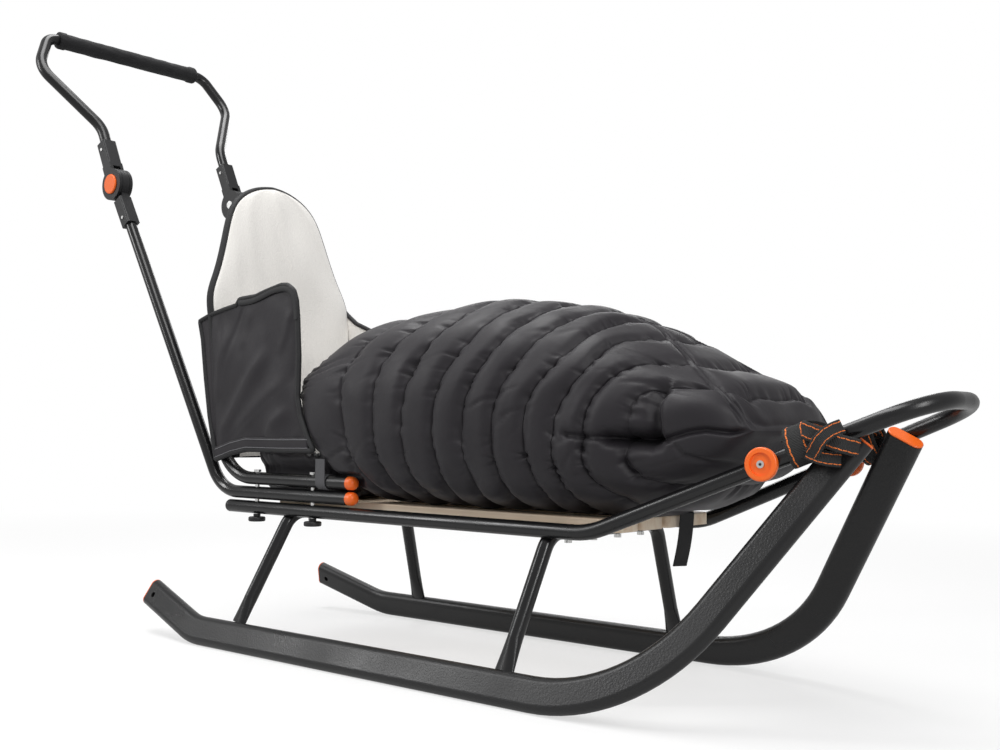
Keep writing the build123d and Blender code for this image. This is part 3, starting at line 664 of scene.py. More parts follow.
# %% Footmuff sections
MUFF = np.array([
    # station, half width, lowest, seam height, top, upper roundness, lower roundness
    (0.080, 0.128, 0.2120, 0.335, 0.420, 2.3, 2.6),
    (0.150, 0.138, 0.2075, 0.330, 0.440, 2.3, 2.8),
    (0.250, 0.146, 0.2060, 0.325, 0.460, 2.3, 3.0),
    (0.376, 0.149, 0.2060, 0.322, 0.468, 2.3, 3.0),
    (0.504, 0.146, 0.2060, 0.318, 0.454, 2.2, 3.0),
    (0.592, 0.138, 0.2075, 0.310, 0.427, 2.2, 2.8),
    (0.660, 0.128, 0.2180, 0.304, 0.394, 2.4, 2.4),
    (0.720, 0.116, 0.2500, 0.303, 0.362, 2.7, 2.2),
    (0.750, 0.104, 0.2760, 0.304, 0.338, 2.9, 2.2),
    (0.766, 0.090, 0.3020, 0.3055, 0.3085, 2.9, 2.4),
])
# Where each quilting seam lies: its stations at these angles from the top, in degrees.
SEAM_ANGLES = np.array((0.0, 20.0, 40.0, 60.0, 90.0, 115.0, 140.0, 180.0))
SEAMS = np.array([
    (0.135, 0.132, 0.120, 0.096, 0.094, 0.130, 0.185, 0.200),
    (0.225, 0.222, 0.212, 0.191, 0.188, 0.205, 0.228, 0.235),
    (0.303, 0.301, 0.290, 0.266, 0.251, 0.258, 0.268, 0.270),
    (0.362, 0.360, 0.349, 0.329, 0.306, 0.308, 0.311, 0.312),
    (0.425, 0.422, 0.411, 0.391, 0.359, 0.361, 0.362, 0.362),
    (0.478, 0.474, 0.460, 0.442, 0.408, 0.409, 0.409, 0.409),
    (0.528, 0.523, 0.506, 0.487, 0.455, 0.455, 0.456, 0.456),
    (0.576, 0.567, 0.554, 0.536, 0.501, 0.506, 0.510, 0.512),
    (0.637, 0.617, 0.590, 0.576, 0.542, 0.540, 0.547, 0.552),
    (0.690, 0.684, 0.648, 0.611, 0.580, 0.581, 0.611, 0.630),
    (0.748, 0.746, 0.737, 0.667, 0.633, 0.634, 0.685, 0.705),
    (0.766, 0.766, 0.766, 0.766, 0.766, 0.766, 0.766, 0.766),
])
LAST_SEAM = len(SEAMS) - 1


def muff_surface(q, t):
    """Point of the bag at seam number q and angle t round it.

    The angle is in radians, 0 at the left side and a quarter turn at the top. A number q between
    two whole ones lies between two seams.
    """
    from_top = np.degrees(np.abs((t - math.pi / 2 + math.pi) % (2 * math.pi) - math.pi))
    by_angle = spline(SEAM_ANGLES, SEAMS.T, from_top)
    low = np.clip(np.floor(q).astype(int), 0, LAST_SEAM - 1)
    share = q - low
    before = np.take_along_axis(by_angle, low[..., None], -1)[..., 0]
    after = np.take_along_axis(by_angle, low[..., None] + 1, -1)[..., 0]
    station = np.minimum(before + (after - before) * share, MUFF[-1, 0])
    row = spline(MUFF[:, 0], MUFF[:, 1:], station)
    half, low_z, seam_z, top_z, up_n, down_n = np.moveaxis(row, -1, 0)
    c, s = np.cos(t), np.sin(t)
    power = 2 / np.where(s > 0, up_n, down_n)
    y = half * np.sign(c) * np.abs(c) ** power
    tall = np.where(s > 0, top_z - seam_z, seam_z - low_z)
    z = seam_z + tall * np.sign(s) * np.abs(s) ** power
    return np.stack([station + 0 * y, y, z], -1)


print("footmuff has", LAST_SEAM, "channels")

# %% [markdown]
# ## Quilting and puckers
# Between two seams the filling lifts the cloth almost flat, and right at the thread it dives into a
# narrow groove, so the height is one minus a narrow bell round each seam. The thread also gathers
# the cloth. A crease is a thin valley, and thin valleys lie where a wandering sum of waves passes
# through zero: exp(-(wave/width)^2) is one there and nearly nothing elsewhere.


# %% Creases and quilting
# Heights in metres; widths next to a seam in shares of a channel.
PLATEAU, PLATEAU_EDGE = 0.0046, 0.17
CROWN = 0.0012
GROOVE, GROOVE_WIDTH = 0.0022, 0.022
PUCKER, PUCKER_REACH = 0.0026, 0.19
FINE_PUCKER, FINE_REACH = 0.0009, 0.12
DRAG, DRAG_EDGE = 0.0015, 0.10
UNEVEN_CLOTH = 0.0007
WHOLE_LOWERED = 0.0034


def crease(wave, width):
    """Thin valleys along the zero lines of a wave."""
    return bell(wave, width)


def quilting(q, t):
    """Height of the stitched cloth over the plain bag: plateaus, grooves, puckers and drag creases."""
    off_seam = np.minimum(q % 1, 1 - q % 1)
    before = (q % 1 > 0.5) * 1.0
    front_fade = 1 - 0.35 * ease(q, 9.6, 11)
    tip_fade = 1 - ease(q, 9.8, 10.8)
    uneven = 1 + 0.22 * ripple(t * 2.2, q * 0.9, seed=3)
    plateau = PLATEAU * (1 - bell(off_seam, PLATEAU_EDGE)) * uneven * front_fade
    crown = CROWN * np.sin(math.pi * (q % 1))
    groove = GROOVE * bell(off_seam, GROOVE_WIDTH)
    strength = np.clip(0.75 + 0.8 * ripple(t * 6, q * 1.1, seed=4), 0, 2.2)
    pucker = crease(ripple(t * 17, q * 2.0, seed=5, low=0.8, high=2.6), 0.30)
    pucker = pucker * strength * bell(off_seam, PUCKER_REACH) * (0.5 + 0.5 * before)
    fine = ripple(t * 34, q * 3.0, seed=6, low=0.9, high=2.2) * bell(off_seam, FINE_REACH)
    side = ease(np.abs(np.cos(t)), 0.35, 0.75)
    drag = crease(ripple(t * 9 + q * 1.8, t * 1.5 - q * 0.7, seed=8, low=0.7, high=2.2), 0.16)
    patchy = np.clip(ripple(t * 2.4, q * 0.8, seed=9), 0, 1.6)
    drag = drag * patchy * side * (1 - bell(off_seam, DRAG_EDGE))
    soft = UNEVEN_CLOTH * ripple(t * 3, q * 1.2, seed=11)
    gathered = tip_fade * (FINE_PUCKER * fine - PUCKER * pucker - DRAG * drag)
    return plateau + crown - groove + gathered + soft - WHOLE_LOWERED


print("quilting ready")

# %% [markdown]
# ## Tucked corners and the zip line
# In front, the corners of the bag are folded in like the ends of a parcel. Each fold is a valley
# along a short line on the side: deep * exp(-(distance/width)^2), with one width above the line and
# another below, because cloth rolls over one edge and is pulled tight at the other. A zip runs from
# each front corner up to the middle of the top, so the flap between the two zips can be opened.


# %% Tucks
TUCKS = (
    # stations and heights of the line, width on its left, width on its right, depth
    (((0.558, 0.299), (0.577, 0.297), (0.601, 0.296), (0.630, 0.293)), 0.0045, 0.0030, 0.0080),
    (((0.612, 0.2945), (0.634, 0.2925), (0.662, 0.291)), 0.0085, 0.0060, 0.0200),
    (((0.640, 0.292), (0.668, 0.291)), 0.0130, 0.0075, 0.0120),
    (((0.665, 0.294), (0.669, 0.314), (0.667, 0.334), (0.671, 0.346)), 0.0100, 0.0050, 0.0130),
    (((0.676, 0.294), (0.687, 0.298), (0.704, 0.303), (0.722, 0.306), (0.748, 0.303), (0.766, 0.3055)),
     0.0035, 0.0028, 0.0070),
    (((0.629, 0.290), (0.628, 0.268), (0.636, 0.254)), 0.0060, 0.0045, 0.0060),
    (((0.690, 0.288), (0.697, 0.279), (0.720, 0.272), (0.738, 0.270)), 0.0035, 0.0035, 0.0030),
)
ZIP_LINE = np.array([
    # station, distance from the middle
    (0.566, 0.000), (0.613, 0.0225), (0.649, 0.0470), (0.689, 0.0700), (0.718, 0.0870),
    (0.741, 0.0950), (0.764, 0.0930),
])
ZIP_HALF, ZIP_RAISED = 0.008, 0.0006
ZIP_GROOVE_AT, ZIP_GROOVE_WIDTH, ZIP_GROOVE_DEEP = 0.0034, 0.0015, 0.0034
CUSHION_AT, CUSHION_LONG, CUSHION_HIGH, CUSHION_SWELL = (0.704, 0.328), 0.030, 0.018, 0.0065


def tuck(points, line, left_width, right_width, deep):
    """Depth of a valley along a line of (station, z), kept to the sides of the bag."""
    _, distance, _, left = nearest_on(points[..., [0, 2]], line)
    width = np.where(left, left_width, right_width)
    return deep * bell(distance, width) * ease(np.abs(points[..., 1]), 0.05, 0.085)


def muff_relief(q, t, points):
    """Quilting less the tucks, with a swollen end cushion and a flat zip line between two grooves."""
    station, across, height = points[..., 0], np.abs(points[..., 1]), points[..., 2]
    relief = quilting(q, t)
    near_zip = nearest_on(np.stack([station, across], -1), ZIP_LINE)[1]
    on_top = ease(height, 0.300, 0.312)
    flatten = bell(near_zip, ZIP_HALF) * on_top
    relief = relief * (1 - flatten) + ZIP_RAISED * flatten
    relief = relief - ZIP_GROOVE_DEEP * bell(near_zip - ZIP_GROOVE_AT, ZIP_GROOVE_WIDTH) * on_top
    for line, left_width, right_width, deep in TUCKS:
        relief = relief - tuck(points, line, left_width, right_width, deep)
    cushion = bell(station - CUSHION_AT[0], CUSHION_LONG) * bell(height - CUSHION_AT[1], CUSHION_HIGH)
    return relief + CUSHION_SWELL * cushion * ease(across, 0.05, 0.10)


print("tucks:", len(TUCKS), "and a zip line of", len(ZIP_LINE), "points")

# %% [markdown]
# ## The bag is kept clear of the tubes
# The seat rails and the clamped tubes press into the bag. Any point that would lie inside a rail is
# moved out to its skin, and the lowest edge near the seat is tucked in between the clamped tubes.

# %% Room for the tubes
TUBE_R = 0.009
CLOTH_CLEARANCE = 0.0008
RAIL_LINE = np.array([
    # middle line of the right seat rail: station, y, height
    (0.02, -0.119, 0.190), (0.555, -0.119, 0.190), (0.597, -0.116, 0.198), (0.945, -0.067, 0.3376),
])
BETWEEN_TUBES = 0.106
RESTING_HEIGHT = 0.2056
SLATS_END = 0.602


def push_off(points, line, radius, inward):
    """Moves the points that would lie inside a round tube out to its skin.

    The same tube lies on both sides, so the left half is mirrored onto the right one and back.
    """
    mirror = np.ones(points.shape)
    mirror[..., 1] = np.where(points[..., 1] > 0, -1.0, 1.0)
    near = points * mirror
    away, distance, _, _ = nearest_on(near, line)
    push = unit(away + np.array(inward)) * np.maximum(radius - distance, 0)[..., None]
    return (near + push) * mirror


def tuck_inside(points):
    """Holds the lower edge of the bag near the seat between the clamped tubes."""
    low = 1 - ease(points[..., 2], 0.236, 0.262)
    rear = 1 - ease(points[..., 0], 0.198, 0.245)
    limit = BETWEEN_TUBES + 0.06 * (1 - low * rear)
    out = points.copy()
    out[..., 1] = np.sign(points[..., 1]) * np.minimum(np.abs(points[..., 1]), limit)
    return out


# %% [markdown]
# ## The grid of the bag
# The rows crowd together at the seams, where the cloth turns sharply, and the columns crowd on the
# top and sides. Underneath, where the bag lies on the slats, a few columns are enough.

# %% The footmuff's shell
ROW_SHARES = np.array((
    0, 0.012, 0.028, 0.05, 0.08, 0.12, 0.17, 0.23, 0.30, 0.38, 0.46,
    0.54, 0.62, 0.70, 0.77, 0.83, 0.88, 0.92, 0.95, 0.972, 0.988,
))
NOSE_ROWS = 56
SHOWN_COLS, UNDER_COLS = 320, 46
NOSE_HEIGHT = 0.3055
full_channels = np.arange(LAST_SEAM - 1)[:, None] + ROW_SHARES
nose = LAST_SEAM - 1 + np.linspace(0, 1, NOSE_ROWS)
q_rows = np.concatenate([full_channels.ravel(), nose])
shown = np.linspace(-38, 218, SHOWN_COLS, endpoint=False)
under = np.linspace(218, 322, UNDER_COLS, endpoint=False)
q_grid, t_grid = np.meshgrid(q_rows, np.radians(np.concatenate([shown, under])), indexing="ij")
bag = muff_surface(q_grid, t_grid)
relief = muff_relief(q_grid, t_grid, bag) * ease(LAST_SEAM - q_grid, 0, 0.12)
puffed = bag + outward_normals(bag, row=120) * relief[..., None]
lowest = np.where(puffed[..., 0] < SLATS_END, RESTING_HEIGHT, 0.0)
puffed[..., 2] = np.maximum(puffed[..., 2], lowest)
puffed = tuck_inside(puffed)
puffed = push_off(puffed, RAIL_LINE, TUBE_R + CLOTH_CLEARANCE, (0, 0.004, 0.004))
puffed[-1, :, 2] = NOSE_HEIGHT
footmuff = grid_piece("footmuff_shell", placed(puffed), wrap=True, uv=np.stack([t_grid, q_grid], -1))
muff_long = round(float(np.ptp(puffed[..., 0])), 3)
print("footmuff rows and columns", puffed.shape[:2], "length", muff_long, "m")

# %% [markdown]
# ## The inside of the footmuff
# Looking from behind into the bag we see its fleece. It is the same surface, a little smaller and
# without the quilting. At the mouth both layers meet, and a bound edge covers the cut.

# %% Footmuff lining and bound mouth
LINING_TO = 9.8
q_in, t_in = np.meshgrid(
    np.linspace(0, LINING_TO, 70), np.arange(120) / 120 * 2 * math.pi, indexing="ij")
inside = muff_surface(q_in, t_in)
filling = 0.009 + 0.007 * ease(q_in, 0, 0.6) + 0.034 * ease(q_in, 7.5, 9.5)
filling = filling + 0.0012 * ripple(t_in * 4, q_in, seed=21)
inside = inside - outward_normals(inside, row=20) * filling[..., None]
inside = tuck_inside(inside)
inside[..., 1] -= np.sign(inside[..., 1]) * 0.004 * (1 - ease(inside[..., 2], 0.24, 0.27))
inside[-1] = inside[-1].mean(axis=0)
muff_lining = grid_piece(
    "footmuff_lining", placed(inside), wrap=True, uv=np.stack([t_in, q_in], -1) * 3, flip=True)

BINDING_IN, BINDING_RADIUS = 0.0045, 0.0060
mouth = puffed[0]
ring = np.concatenate([mouth, mouth[:1]])
to_middle = unit(mouth.mean(axis=0) - ring)
muff_binding = sweep(
    "footmuff_bound_edge", placed(ring + to_middle * BINDING_IN), -to_middle,
    round_section(BINDING_RADIUS, 10, 0.8), caps=False)
print("lining and bound edge made")

# %% [markdown]
# ## The hood
# The back panel is a padded, bell-shaped cloth: cream fleece in front, nylon behind and a black
# piping round its edge. Two shells share one outline. The front one swells by the square root of
# one minus the distance from the middle squared, as a cushion does.

# %% Back panel with its hood
PANEL_ANGLE = math.radians(82.0)
PANEL_FOOT = np.array((-0.0823, 0.0, 0.258))
PANEL_ACROSS = np.array((0.0, 1.0, 0.0))
PANEL_UP = np.array((-math.cos(PANEL_ANGLE), 0.0, math.sin(PANEL_ANGLE)))
PANEL_OUT = np.array((math.sin(PANEL_ANGLE), 0.0, math.cos(PANEL_ANGLE)))
MIRROR = np.array((1.0, -1.0, 1.0))
PANEL = np.array([
    # height above the foot, half width
    (0.000, 0.1030), (0.040, 0.1035), (0.080, 0.1100), (0.130, 0.1210), (0.180, 0.1285), (0.215, 0.1310),
    (0.240, 0.1300), (0.273, 0.1175), (0.325, 0.0985), (0.3565, 0.0885), (0.383, 0.0765), (0.401, 0.0595),
    (0.412, 0.0400), (0.4185, 0.0190), (0.4210, 0.0),
])
PANEL_TOP = PANEL[-1, 0]
PANEL_ROWS, PANEL_COLS = 110, 81
FRONT_AT, FRONT_SWELL = 0.0125, 0.0110
BACK_AT, BACK_SWELL = 0.0045, 0.0055
PIPING_AT, PIPING_RADIUS = 0.0055, 0.0062
outline = smooth_path(np.column_stack([PANEL, np.zeros(len(PANEL))]), PANEL_ROWS)
outline[-1, 1] = 0.0
share_steps = np.sin(np.linspace(-1, 1, PANEL_COLS) * math.pi / 2)
panel_h, panel_s = np.meshgrid(outline[:, 0], share_steps, indexing="ij")


def on_panel(height, across, out_by):
    """Points given by height above the panel's foot, distance across it and distance out of it."""
    height, across, out_by = (np.asarray(a)[..., None] for a in (height, across, out_by))
    return PANEL_FOOT + height * PANEL_UP + across * PANEL_ACROSS + out_by * PANEL_OUT


edge_fade = np.sqrt(np.clip(1 - panel_s**2, 0, 1)) * np.sqrt(np.clip(1 - (panel_h / PANEL_TOP) ** 4, 0, 1))
folds = 0.0020 * ripple(panel_s * 2.2, panel_h * 9, seed=31)
folds = folds + 0.0008 * ripple(panel_s * 5 + panel_h * 12, panel_h * 4, seed=32)
panel_y = panel_s * outline[:, 1:2]
front = on_panel(panel_h, panel_y, FRONT_AT + (FRONT_SWELL + folds) * edge_fade)
back = on_panel(panel_h, panel_y, BACK_AT - (BACK_SWELL + 0.4 * folds) * edge_fade)
panel_uv = np.stack([panel_s, panel_h * 8], -1)
hood_front = grid_piece("hood_lining", placed(front), uv=panel_uv)
hood_back = grid_piece("hood_back_cover", placed(back), uv=panel_uv, flip=True)
side_wall = np.stack([back[:, 0], front[:, 0]], 1)
hood_edge = grid_piece("hood_edge_band", placed(np.concatenate([side_wall, side_wall[::-1][1:] * MIRROR])))
round_edge = np.concatenate([outline * MIRROR, outline[::-1][1:]])
round_edge = on_panel(round_edge[:, 0], round_edge[:, 1], np.full(len(round_edge), PIPING_AT))
hood_piping = sweep(
    "hood_piping", placed(resample(round_edge, 240)), PANEL_OUT, round_section(PIPING_RADIUS, 12))
print("hood half width at half height", round(float(np.interp(0.21, PANEL[:, 0], PANEL[:, 1])), 3))

# %% [markdown]
# ## The side wings
# Each wing is a flap of nylon lined with fleece, held up by the backrest tube behind it. A flap has
# four edges, and a patch that blends its four edges fills it: P = (edges along) + (edges across) -
# (corners). The creases fan out from the lower rear corner, where the flap is pulled tight. Cover,
# lining, hem and stitches lie at their own distances from the sled's middle plane, a little apart.


# %% Wings
def patch(bottom, top, rear, front, u, v):
    """Coons patch between four edge curves, given from rear to front or from bottom to top."""
    def along(curve, x):
        curve = np.asarray(curve, dtype=float)
        reach = distances_along(curve)
        reach = reach / reach[-1]
        return np.stack([np.interp(x, reach, curve[:, k]) for k in range(curve.shape[1])], -1)

    below, above = along(bottom, u), along(top, u)
    behind, ahead = along(rear, v), along(front, v)
    u, v = u[..., None], v[..., None]
    corners = (
        (1 - u) * (1 - v) * np.array(bottom[0]) + u * (1 - v) * np.array(bottom[-1])
        + (1 - u) * v * np.array(top[0]) + u * v * np.array(top[-1])
    )
    return (1 - v) * below + v * above + (1 - u) * behind + u * ahead - corners


def ridge(flat, line, above, below, high):
    """Height of a fold along a line, with one width above it and one below, fading at its ends."""
    _, distance, along, left = nearest_on(flat, line)
    width = np.where(left, above, below)
    return high * bell(distance, width) * ease(along, 0, 0.25) * ease(1 - along, 0, 0.3)


WINGS = {
    # edges as (station, height); each fold as a path, its height, its width above and below it
    "right": {
        "bottom": [(-0.086, 0.256), (-0.050, 0.266), (-0.015, 0.272), (0.059, 0.272), (0.128, 0.273)],
        "front": [(0.128, 0.273), (0.116, 0.290), (0.100, 0.320), (0.094, 0.345), (0.095, 0.400),
                  (0.091, 0.456)],
        "top": [(-0.131, 0.460), (-0.105, 0.468), (-0.074, 0.474), (-0.043, 0.479), (-0.036, 0.487),
                (0.000, 0.489), (0.020, 0.494), (0.055, 0.501), (0.070, 0.500), (0.082, 0.492),
                (0.088, 0.478), (0.091, 0.456)],
        "rear": [(-0.086, 0.256), (-0.092, 0.279), (-0.103, 0.319), (-0.114, 0.376), (-0.123, 0.433),
                 (-0.131, 0.460)],
        "folds": [
            (((-0.086, 0.275), (-0.054, 0.320), (-0.018, 0.363), (0.008, 0.391), (0.040, 0.425)),
             0.0042, 0.010, 0.018),
            (((-0.092, 0.330), (-0.084, 0.371), (-0.075, 0.409), (-0.060, 0.455)), 0.0030, 0.010, 0.016),
            (((-0.060, 0.285), (-0.010, 0.318), (0.040, 0.352), (0.085, 0.375)), 0.0026, 0.012, 0.010),
            (((0.020, 0.280), (0.045, 0.310), (0.085, 0.335)), 0.0022, 0.008, 0.012),
            (((0.050, 0.400), (0.070, 0.440), (0.078, 0.470)), 0.0020, 0.008, 0.008),
            (((-0.030, 0.410), (-0.020, 0.445), (-0.010, 0.478)), 0.0016, 0.008, 0.010),
        ],
        "side": -1.0, "seed": 41,
    },
    "left": {
        "bottom": [(-0.084, 0.262), (-0.050, 0.272), (-0.020, 0.277), (0.040, 0.280), (0.098, 0.281)],
        "front": [(0.098, 0.281), (0.101, 0.300), (0.094, 0.375), (0.092, 0.400), (0.090, 0.430)],
        "top": [(-0.128, 0.508), (-0.100, 0.486), (-0.080, 0.472), (-0.044, 0.458), (0.040, 0.443),
                (0.090, 0.430)],
        "rear": [(-0.084, 0.262), (-0.093, 0.300), (-0.112, 0.342), (-0.126, 0.417), (-0.128, 0.508)],
        "folds": [
            (((-0.080, 0.270), (-0.030, 0.330), (0.010, 0.380), (0.030, 0.420)), 0.0040, 0.012, 0.018),
            (((-0.088, 0.320), (-0.080, 0.390), (-0.060, 0.450)), 0.0028, 0.010, 0.016),
            (((-0.040, 0.280), (0.020, 0.320), (0.080, 0.350)), 0.0026, 0.012, 0.010),
        ],
        "side": 1.0, "seed": 47,
    },
}
FAN_FROM = (-0.084, 0.262)
COVER_AT, LINING_AT, RIM_AT = 0.1340, 0.1312, 0.1332
HEM_AT, THREAD_AT, BAND_AT = 0.1358, 0.1367, 0.1362
HEM_UP, BAND_DOWN = 0.0085, 0.0055
RIM_RADIUS, HEM_HALF_WIDE, BAND_HALF_WIDE = 0.0040, 0.0090, 0.0042
THREADS_UP = (0.0030, 0.0145)
STITCH_PITCH = 0.0038
BILLOW, WING_UNEVEN, WING_CREASE, WRAP_GROOVE = 0.0022, 0.0008, 0.0011, 0.0016
wing_pieces = {}


def beside(line, y, raised_by):
    """Points of a line of (station, height) at a distance y to the side, raised a little."""
    return np.array([(x, y, z + raised_by) for x, z in line])


for wing_name, rows in WINGS.items():
    side, seed, prefix = rows["side"], rows["seed"], "wing_" + wing_name
    u, v = np.meshgrid(np.linspace(0, 1, 110), np.linspace(0, 1, 100), indexing="ij")
    flat = patch(rows["bottom"], rows["top"], rows["rear"], rows["front"], u, v)
    ahead, up = flat[..., 0] - FAN_FROM[0], flat[..., 1] - FAN_FROM[1]
    fan = np.arctan2(up, ahead)
    reach = np.hypot(ahead, up)
    fade = ease(u, 0, 0.12) * ease(1 - u, 0, 0.10) * ease(v, 0, 0.12) * ease(1 - v, 0, 0.10)
    fan_waves = ripple(fan * 6.0, reach * 5, seed=seed, low=0.8, high=2.6)
    creases = crease(fan_waves, 0.22) * ease(reach, 0.02, 0.09)
    uneven = WING_UNEVEN * ripple(u * 5, v * 5, seed=seed + 1) - WING_CREASE * creases
    lift = BILLOW * np.sin(math.pi * u) * np.sin(math.pi * v) + uneven * fade
    for line, high, above, below in rows["folds"]:
        lift = lift + ridge(flat, line, above, below, high) * fade
    # the cloth is drawn in beside the backrest tube that it is wrapped round
    tube_edge = -0.086 - 0.10 * (flat[..., 1] - 0.256)
    lift = lift - WRAP_GROOVE * bell(flat[..., 0] - tube_edge, 0.0030) * ease(v, 0.02, 0.10)
    for layer, part, y, share, flip in (
        ("_outer", "_cover", COVER_AT, 1.0, side > 0),
        ("_inner", "_lining", LINING_AT, 0.6, side < 0),
    ):
        sheet = np.stack([flat[..., 0], side * (y + share * lift), flat[..., 1]], -1)
        wing_pieces[wing_name + layer] = grid_piece(
            prefix + part, placed(sheet), uv=np.stack([u, v], -1), flip=flip)
    border = rows["bottom"] + rows["front"][1:] + rows["top"][::-1][1:] + rows["rear"][::-1][1:]
    rim = resample(beside(border, side * RIM_AT, 0), 260)
    wing_pieces[wing_name + "_piping"] = sweep(
        prefix + "_bound_edge", placed(rim), (0, 1, 0), round_section(RIM_RADIUS, 8, 0.9), caps=False)
    hem_line = [(min(x, rows["front"][1][0] + 0.003), z) for x, z in rows["bottom"]]
    hem = resample(beside(hem_line, side * HEM_AT, HEM_UP), 60)
    wing_pieces[wing_name + "_hem"] = sweep(
        prefix + "_hem", placed(hem), (0, 0, 1), round_section(HEM_HALF_WIDE, 12, 0.08))
    for number, height in enumerate(THREADS_UP):
        thread = beside(hem_line, side * THREAD_AT, height)
        wing_pieces[f"{wing_name}_thread{number}"] = stitches(
            f"{prefix}_hem_stitch_{number + 1}", thread, STITCH_PITCH)
    if wing_name == "right":
        band = smooth_path(beside(rows["top"][4:], side * BAND_AT, -BAND_DOWN), 90)
        wing_pieces["right_band"] = sweep(
            prefix + "_top_band", placed(band), (0, 0, 1), round_section(BAND_HALF_WIDE, 10, 0.3))
print("wing pieces:", len(wing_pieces))

# %% [markdown]
# ## The seat pad and its gathered skirt
# The pad lies on the slats inside the backrest. Its side is a loose skirt of nylon that bunches up
# above the tubes, so its outline is a wavy line that gets deeper towards the rim.

# %% Seat pad
PAD_AT, PAD_HALF_LONG = 0.058, 0.091
PAD_HALF_WIDE, SKIRT_WIDER = 0.1035, 0.0165
PAD_MIDDLE_Z, PAD_HALF_HIGH = 0.2350, 0.0290
SIDE_POWER, CORNER_POWER, RISE_POWER = 0.45, 0.36, 0.6
RIM_RAISED, BUNCH_OUT, BUNCH_UP, TOP_UNEVEN = 0.0150, 0.0022, 0.0020, 0.0015
v_pad, u_pad = np.meshgrid(
    np.linspace(-math.pi / 2, math.pi / 2, 60), np.arange(260) / 260 * 2 * math.pi, indexing="ij")


def rounded(value, power):
    """Sign-keeping power, which makes a circle squarer."""
    return np.sign(value) * np.abs(value) ** power


flat_x = rounded(np.cos(v_pad), SIDE_POWER) * rounded(np.cos(u_pad), CORNER_POWER)
flat_y = rounded(np.cos(v_pad), SIDE_POWER) * rounded(np.sin(u_pad), CORNER_POWER)
rise = rounded(np.sin(v_pad), RISE_POWER)
pad_z = PAD_MIDDLE_Z + PAD_HALF_HIGH * rise
near_rim = np.abs(flat_y)
spread = PAD_HALF_WIDE + SKIRT_WIDER * ease(pad_z, 0.241, 0.252)
gathers = crease(ripple(u_pad * 13, rise * 2.5, seed=61, low=0.8, high=2.6), 0.35)
bunch = (1 - 2.2 * gathers) * ease(pad_z, 0.236, 0.252) + 0.5 * ripple(u_pad * 30, rise * 5, seed=63)
# fades towards the middle of the top, where all columns of the grid meet
bunch = bunch * ease(np.cos(v_pad) ** SIDE_POWER, 0.60, 0.86)
pad_x = PAD_AT + PAD_HALF_LONG * flat_x
pad_y = flat_y * spread + np.sign(flat_y) * BUNCH_OUT * bunch * (near_rim > 0.6)
pad_z = (
    pad_z
    + RIM_RAISED * ease(near_rim, 0.72, 0.95) * ease(rise, 0, 0.8)
    + BUNCH_UP * bunch * (rise < 0.98)
    + TOP_UNEVEN * ripple(flat_x * 4, flat_y * 4, seed=62) * ease(rise, 0, 0.6)
)
pad = np.stack([pad_x, pad_y, np.maximum(pad_z, RESTING_HEIGHT)], -1)
seat_pad = grid_piece("seat_pad_cover", placed(pad), wrap=True, uv=np.stack([u_pad, v_pad], -1))
print("seat pad", pad.shape[:2])

# %% [markdown]
# ## The tow strap
# Webbing is a flat ribbon. It is wound round each seat rail beside the orange disc and runs across
# to the other side. We give the path of its middle line and, at each point, the direction across
# the ribbon: on the rail that is the rail's own heading, so the ribbon lies flat on the tube.

# %% Ribbons
RAIL_START = np.array((0.576, -0.119, 0.190))
RAIL_TIP = np.array((0.945, -0.0675, 0.3376))
RAIL_HEADING = unit(RAIL_TIP - RAIL_START)
RAIL_OUT = unit(np.array((0.0, -1.0, 0.0)) + RAIL_HEADING * RAIL_HEADING[1])
RAIL_UP = np.cross(RAIL_OUT, RAIL_HEADING)
DISC_STATION = 0.779
DISC_AT = RAIL_START + RAIL_HEADING * ((DISC_STATION - RAIL_START[0]) / RAIL_HEADING[0])
RIBBON_ACROSS = np.array((
    -0.5, -0.49, -0.4, -0.2, 0.0, 0.2, 0.4, 0.49,
    0.5, 0.49, 0.4, 0.2, 0.0, -0.2, -0.4, -0.49,
))
RIBBON_UP = np.array((
    0.0, 0.4, 0.56, 0.5, 0.46, 0.5, 0.56, 0.4,
    0.0, -0.4, -0.56, -0.5, -0.46, -0.5, -0.56, -0.4,
))


def by_rail(along, out, up):
    """Places beside the right rail: along it from the disc, out from its axis, up from its axis."""
    along, out, up = (np.asarray(a, dtype=float)[..., None] for a in (along, out, up))
    return DISC_AT + RAIL_HEADING * along + RAIL_OUT * out + RAIL_UP * up


def ribbon(name, path, across, width, thick):
    """A flat strap: a thin section with slightly thicker edges, carried along the path."""
    grid = carried(path, across, RIBBON_ACROSS * width, RIBBON_UP * thick)
    return grid_piece(name, grid, wrap=True, uv=strip_uv(RIBBON_ACROSS + 0.5, path), caps=True)


WRAP_FROM, WRAP_TO, WRAP_POINTS = 0.15, 1.30, 120
WRAP_RADIUS = 0.0112
WRAP_LOOSE_OUT, WRAP_LOOSE_UP = 0.0016, 0.0095
BRIDGE_SAG = 0.010
BRIDGE_ACROSS = np.array((0.93, 0.0, 0.36))
STRAP_POINTS, STRAP_WIDTH, STRAP_THICK = 420, 0.0265, 0.0020
SMOOTHING_ROUNDS = 24
turns = np.linspace(WRAP_FROM, WRAP_TO, WRAP_POINTS)
angle = 2 * math.pi * turns
loose = ease(turns, -0.1, 0.5)
wrap_path = by_rail(
    0.038 + 0.004 * turns,
    (WRAP_RADIUS + WRAP_LOOSE_OUT * loose) * np.cos(angle) + 0.0010 * loose,
    (WRAP_RADIUS + WRAP_LOOSE_UP * loose) * np.sin(angle) + 0.0060 * loose,
)
wrap_across = np.broadcast_to(RAIL_HEADING, wrap_path.shape)
leave = by_rail([0.0480, 0.0540], [-0.0120, -0.0300], [0.0250, 0.0190])
bridge_end = leave[-1]
sag = np.linspace(0, 1, 24)[1:-1]
